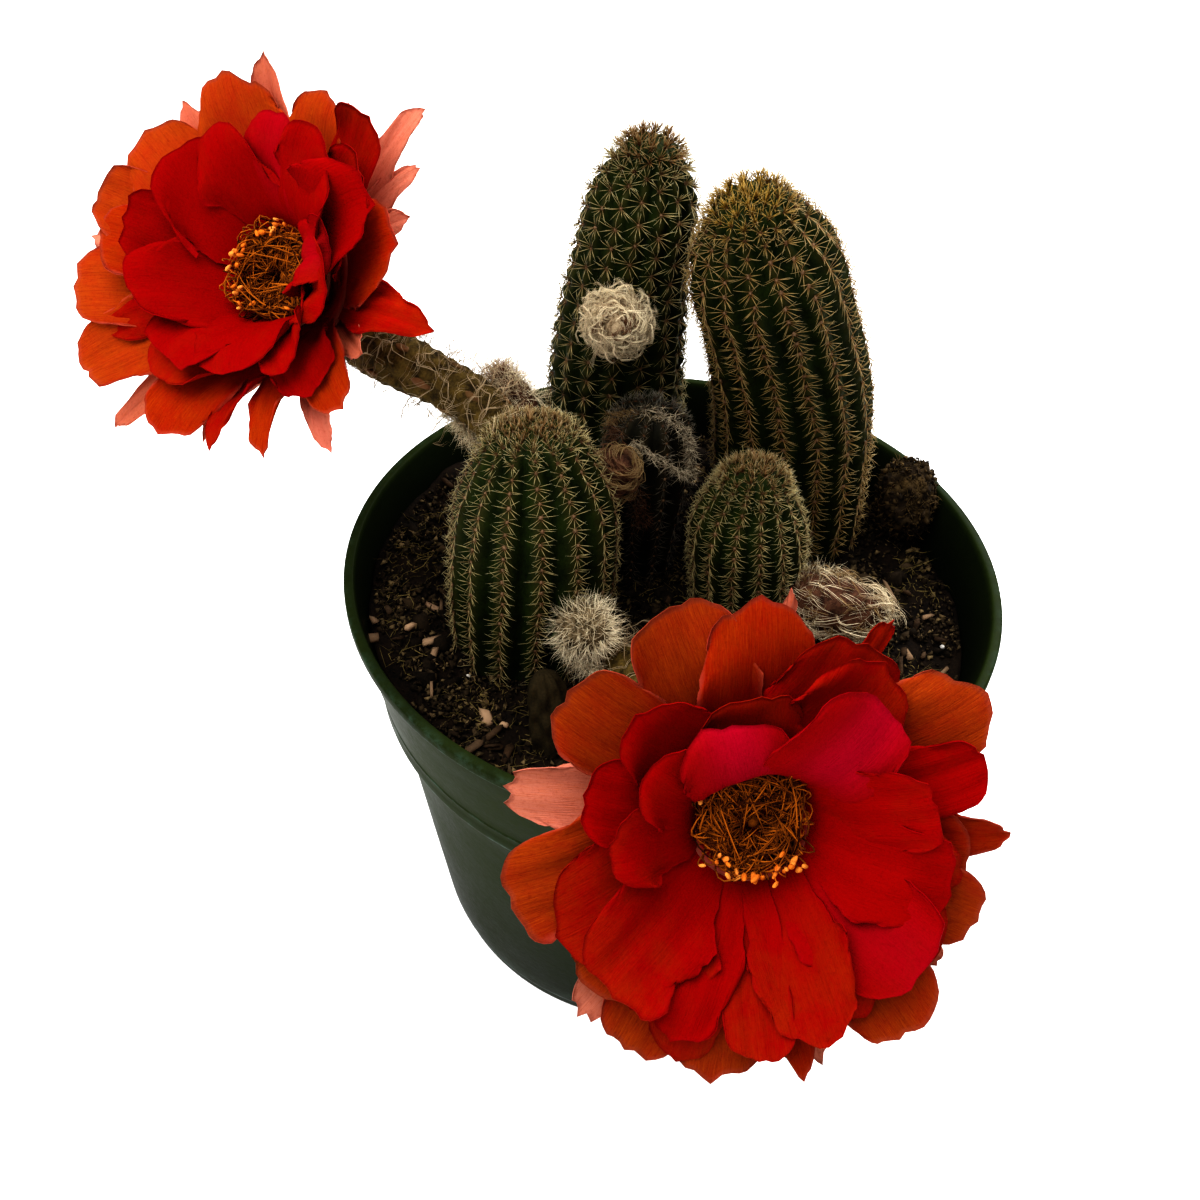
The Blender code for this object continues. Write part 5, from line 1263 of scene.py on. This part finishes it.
def buildStamens(name, spec, looks, rng):
    # filaments that line the throat and arch over it, a style inside, and anthers along one side of the rim
    count, steps = stamenLook["filaments"], stamenLook["steps"]
    angle = fullTurn * rng.random(count)
    drift = np.array([*spec["throat"], 0.0])
    footReach = np.where(np.arange(count) % 4 == 0, rng.uniform(1.5, 3.8, count),
                         rng.uniform(4.9, 7.0, count))
    lean = rng.normal(0, 0.9, count)
    footReach = footReach * throatScale(spec, angle)
    foot = np.stack([footReach * np.cos(angle), footReach * np.sin(angle), -9.4 + 0.75 * (footReach - 3)], -1)
    tipReach = rng.uniform(0.5, 6.8, count) * throatScale(spec, angle + lean)
    tip = np.stack([tipReach * np.cos(angle + lean), tipReach * np.sin(angle + lean),
                    -4.6 + 0.42 * tipReach + rng.uniform(-0.9, 0.9, count)], -1)
    bow = np.stack([np.cos(angle), np.sin(angle), 0.75 + 0 * angle], -1) * rng.uniform(1.2, 2.6, (count, 1))
    paths = np.stack([foot + (tip - foot) * t + bow * math.sin(math.pi * t) ** 0.8 for t in steps], 1)
    radii = np.full((count, 1), stamenLook["radius"]) * np.linspace(1.3, 0.9, len(steps))
    points, faces, along, strand = strandTubes(paths, radii)
    sheets = [(points, faces, {"along": along, "tint": (rng.random(count) ** 1.2)[strand]})]
    style = np.array([[(0, 0, -9.3), (0.2, 0, -7.5), (0.3, 0.2, -6.0), (0.4, 0.3, -5.0), (0.4, 0.3, -4.7)]])
    points, faces, along, strand = strandTubes(style, np.array([[0.7, 0.62, 0.6, 0.9, 0.0]]), 8)
    sheets.append((points, faces, {"along": along, "tint": np.full(len(points), 0.5)}))
    joined, faceSets, fields = joinSheets(sheets)
    addPiece(name + "_filaments", toWorld(joined + drift, spec), faceSets, looks["filament"],
             [name + "_stamens"], fields)
    low, high = np.radians(spec["antherArc"])
    count, strays = stamenLook["anthers"], spec["strays"]
    angle = rng.uniform(low, high, count)
    angle[:strays] = fullTurn * rng.random(strays)
    reach = rng.normal(7.0, 0.9, count)
    end = np.stack([reach * np.cos(angle), reach * np.sin(angle), rng.uniform(-2.4, 0.9, count)], -1)
    start = end * [0.86, 0.86, 1] - [0, 0, 1] * rng.uniform(3.0, 4.5, (count, 1))
    bow = np.stack([np.cos(angle), np.sin(angle), 0 * angle], -1) * 0.8
    paths = np.stack([start + (end - start) * t + bow * math.sin(math.pi * t) for t in steps], 1)
    radii = np.full((count, 1), stamenLook["radius"]) * np.linspace(1.1, 0.8, len(steps))
    points, *rest = strandTubes(paths, radii, 4)
    tubes = (toWorld(points + drift, spec), *rest)
    addStrands(name + "_rim_filaments", tubes, looks["filament"], rng.random(count))
    way = unit(paths[:, -1] - paths[:, -2] + rng.normal(0, 0.5, (count, 3)))
    sizes = np.array([[0.34, 0.40, 0.80]]) * rng.uniform(0.75, 1.2, (count, 1))
    turns = turnsFacing(way, fullTurn * rng.random(count))
    points, *rest = scatter(ballShape(2), end + way * 0.3, turns, sizes, 0.10, rng)
    bits = (toWorld(points + drift, spec), *rest)
    addBits(name + "_anthers", bits, looks["anther"], rng.random(count) ** 2, True)


def buildTube(name, spec, looks, rng):
    centre, axes = bloomAxes(spec)
    end = centre + axes[2] * (cupFoot - 0.3)
    route = smoothRoute(spec["tube"] + [(*(end - axes[2] * 5.0), 5.6)], 60)
    route = np.vstack([route, [*(end - axes[2] * 2.0), 6.0], [*end, 6.2]])
    skin = skinOf(route, 0.6)
    last = skin["arc"][-1]

    def scaly(arc, angle):
        # low spiral scales, flatter towards the bloom
        lap = np.sin(4 * angle + 1.1 * arc) * np.sin(1.1 * arc - 3 * angle)
        ridge = 0.03 * np.sin(9 * angle + 0.3 * arc)
        return 1 + (0.085 * lap + ridge) * blendIn(arc, 1, 5) * (1 - 0.6 * blendIn(arc, last - 12, last))

    points, _ = ringedPoints(skin, tubeLook["columns"], scaly)
    flat, faces = closedBody(points)
    addPiece(name + "_tube_skin", flat, faces, looks["tube"], [name + "_tube"])
    hair = hairOn(skin, {"guides": spec["tubeHairs"], **tubeLook["hair"]}, rng)
    addStrands(name + "_tube_hair", hair, looks["tubeHair"], rng.random(strandCount(hair)))
    count = tubeLook["scales"]
    arc = last * np.linspace(0.10, 0.90, count)
    place, normal, around, upward = onSkin(skin, arc, goldenTurn * np.arange(count))
    sizes = np.array([tubeLook["scale"]]) * rng.uniform(0.8, 1.2, (count, 1))
    bits = scatter(ballShape(2), place, np.stack([upward, around, normal], -1), sizes, 0.05, rng)
    addBits(name + "_tube_scales", bits, looks["scale"], 0.5 * rng.random(count), True)


def buildBlooms():
    blade = petalMaterial()
    looks = {
        # the near-black odd colour darkens a random share of the filaments: painted shade between the
        # filaments in the throat
        "filament": woolMaterial("filament", (0.300, 0.058, 0.004), (0.520, 0.150, 0.010),
                                 (0.022, 0.003, 0.001), 1.0),
        "anther": mottled("anther", "crumb", (0.560, 0.110, 0.006), (0.760, 0.230, 0.020),
                          (0.850, 0.380, 0.080), 0.6),
        "tube": mottled("tubeSkin", "bud", (0.020, 0.013, 0.004), (0.110, 0.072, 0.018)),
        "scale": mottled("tubeScale", "crumb", (0.040, 0.028, 0.008), (0.120, 0.075, 0.024),
                         (0.200, 0.080, 0.040), 0.6),
        "tubeHair": woolMaterial("tubeHair", (0.210, 0.150, 0.075), (0.540, 0.430, 0.280),
                                 (0.200, 0.120, 0.060), 0.8)}
    for name, spec in blooms.items():
        rng = np.random.default_rng(len(name) * 5 + 1)
        for part, slot in (("outer", "petal_orange"), ("inner", "petal_crimson")):
            sheets = [cupSheet(cupProfiles[part], spec["throat"])]
            sheets += [petalSheet(petal, spec, rng) for petal in spec["petals"]
                       if (petal[0] == "inner") == (part == "inner")]
            points, faceSets, fields = joinSheets(sheets)
            addPiece(f"{name}_{part}_petals_blades", toWorld(points, spec), faceSets, blade,
                     [f"{name}_{part}_petals"], fields)
        buildStamens(name, spec, looks, rng)
        buildTube(name, spec, looks, rng)


buildBlooms()
print("blooms open")


# The clump of bark and the corky stub
clump = {"centre": (48.0, 29.6, 93.8), "size": (6.0, 8.2, 8.2), "crumbs": 1500, "fibres": 700, "detail": 5}
stub = {"columns": 60,
        "axis": [(-17.4, -41.8, 76, 3.6), (-17.8, -41.0, 86, 3.6), (-18.8, -38.8, 92, 3.4),
                 (-19.6, -37.0, 96.2, 2.9), (-20.0, -36.4, 98.0, 1.9), (-20.2, -36.1, 98.8, 0.7)]}


def insideWall(points, gap):
    # below the lip nothing reaches past the pot's inner wall
    reach = np.hypot(points[:, 0], points[:, 1])
    limit = np.array([potInside(min(z, pot["height"])) for z in points[:, 2]]) - gap
    limit = limit + 3.0 * blendIn(points[:, 2], pot["height"] + 0.2, pot["height"] + 1.5)
    shrink = np.minimum(limit / reach, 1)[:, None]
    return points * np.hstack([shrink, shrink, np.ones_like(shrink)])


def onClump(way, swell, gap):
    return insideWall(np.array(clump["centre"]) + way * np.array(clump["size"]) * swell, gap)


def buildClump():
    rng = np.random.default_rng(12)
    corners, faces = ballShape(clump["detail"])
    way = unit(corners)

    def lumpy(scale):
        return np.array([noise.noise(Vector(w) * scale) for w in way])

    lump = 0.20 * lumpy(1.7) + 0.16 * lumpy(4.5) - 0.16 * np.abs(lumpy(8)) - 0.12 * np.abs(lumpy(19))
    bark = mottled("barkClump", "crumb", (0.004, 0.003, 0.002), (0.034, 0.022, 0.012), (0.130, 0.085, 0.035))
    points = onClump(way, (1.04 + lump)[:, None], 0.15)
    addPiece("bark_clump_lump", points, [faces], bark, ["bark_clump"],
             {"tint": np.maximum(lumpy(3.1), 0)}, smooth=False)
    count = clump["crumbs"]
    way = unit(rng.normal(size=(count, 3)))
    places = onClump(way, rng.uniform(0.90, 1.10, (count, 1)), 0.8)
    sizes = rng.gamma(1.6, 0.15, (count, 1)).clip(0.12, 0.6) * rng.uniform(0.3, 1.7, (count, 3))
    bits = scatter(octahedron, places, randomTurns(count, rng), sizes * 1.1, 0.35, rng)
    addBits("bark_clump_crumbs", bits, bark, rng.random(count) ** 4)
    count = clump["fibres"]
    way = unit(rng.normal(size=(count, 3)))
    paths = [onClump(way, 1.0, 1.5)]
    lie = unit(np.cross(way, rng.normal(size=(count, 3))))
    stride = rng.uniform(0.2, 0.6, (count, 1))
    for _ in range(4):
        lie = unit(lie + rng.normal(0, 0.45, (count, 3)))
        paths.append(paths[-1] + lie * stride * 1.5)
    tubes = strandTubes(np.stack(paths, 1), np.full((count, 1), 0.09) * np.linspace(1, 0.5, 5))
    addStrands("bark_clump_fibres", tubes, bark, 0.2 + 0.8 * rng.random(count))


def buildStub():
    skin = skinOf(smoothRoute(stub["axis"], 40), 0.35)

    def corky(arc, angle):
        wide = 0.22 * np.abs(np.sin(3.5 * angle + 0.05 * arc))
        fine = 0.10 * np.abs(np.sin(8 * angle - 0.12 * arc))
        return 0.82 + wide + fine + 0.09 * np.sin(1.3 * arc + 2 * np.sin(angle)) * np.sin(5 * angle)

    points, _ = ringedPoints(skin, stub["columns"], corky)
    flat, faces = closedBody(points)
    cork = mottled("cork", "crumb", (0.003, 0.002, 0.001), (0.026, 0.018, 0.007), (0.070, 0.052, 0.022))
    addPiece("corky_stub_bark", flat, faces, cork, ["corky_stub"], {"tint": np.full(len(flat), 0.15)})


buildClump()
buildStub()
print("clump and stub set")


# Stage: a pale floor, soft light and the camera at the photograph's angle
stageLook = {"floor": (0.86, 0.86, 0.86), "floorSize": 4.0, "sky": (1.0, 1.0, 1.0), "skyStrength": 0.36,
             "glow": 0.40}
camera = {"place": (0.0, -178.6, 252.9), "turn": (46.405, -2.255, 6.558), "lens": 36.3}
# name: place and aim in millimetres, size in metres, watts
lamps = {"window": ((320, 420, 560), (0, 0, 110), 0.45, 6.0),
         "overhead": ((-160, -120, 620), (0, 0, 90), 0.5, 3.4),
         "front": ((-420, -480, 330), (0, -20, 90), 0.7, 0.9)}


def buildStage():
    size = stageLook["floorSize"]
    mesh = bpy.data.meshes.new("floor")
    corners = [(-size, -size, 0), (size, -size, 0), (size, size, 0), (-size, size, 0)]
    mesh.from_pydata(corners, [], [(0, 1, 2, 3)])
    floor = bpy.data.objects.new("floor", mesh)
    bpy.context.scene.collection.objects.link(floor)
    material, tree, shader = newMaterial("paleFloor", 0.9, 0.1)
    feed(tree, shader.inputs["Base Color"], stageLook["floor"])
    feed(tree, shader.inputs["Emission Color"], stageLook["sky"])
    feed(tree, shader.inputs["Emission Strength"], stageLook["glow"])
    mesh.materials.append(material)
    world = bpy.data.worlds.new("studio")
    bpy.context.scene.world = world
    world.use_nodes = True
    background = world.node_tree.nodes["Background"]
    feed(world.node_tree, background.inputs["Color"], stageLook["sky"])
    feed(world.node_tree, background.inputs["Strength"], stageLook["skyStrength"])
    for name, (place, aim, width, power) in lamps.items():
        light = bpy.data.lights.new(name, "AREA")
        light.energy = power
        light.size = width
        lamp = bpy.data.objects.new(name, light)
        lamp.location = Vector(place) * mm
        lamp.rotation_euler = (Vector(aim) - Vector(place)).to_track_quat("-Z", "Y").to_euler()
        bpy.context.scene.collection.objects.link(lamp)
    lens = bpy.data.cameras.new("photoView")
    lens.lens = camera["lens"]
    lens.sensor_width = 36.0
    lens.clip_start = 0.01
    view = bpy.data.objects.new("photoView", lens)
    view.location = Vector(camera["place"]) * mm
    view.rotation_euler = [math.radians(angle) for angle in camera["turn"]]
    bpy.context.scene.collection.objects.link(view)
    bpy.context.scene.camera = view
    bpy.context.scene.view_settings.view_transform = "Standard"
    bpy.context.scene.view_settings.look = "High Contrast"


buildStage()
print("stage lit")
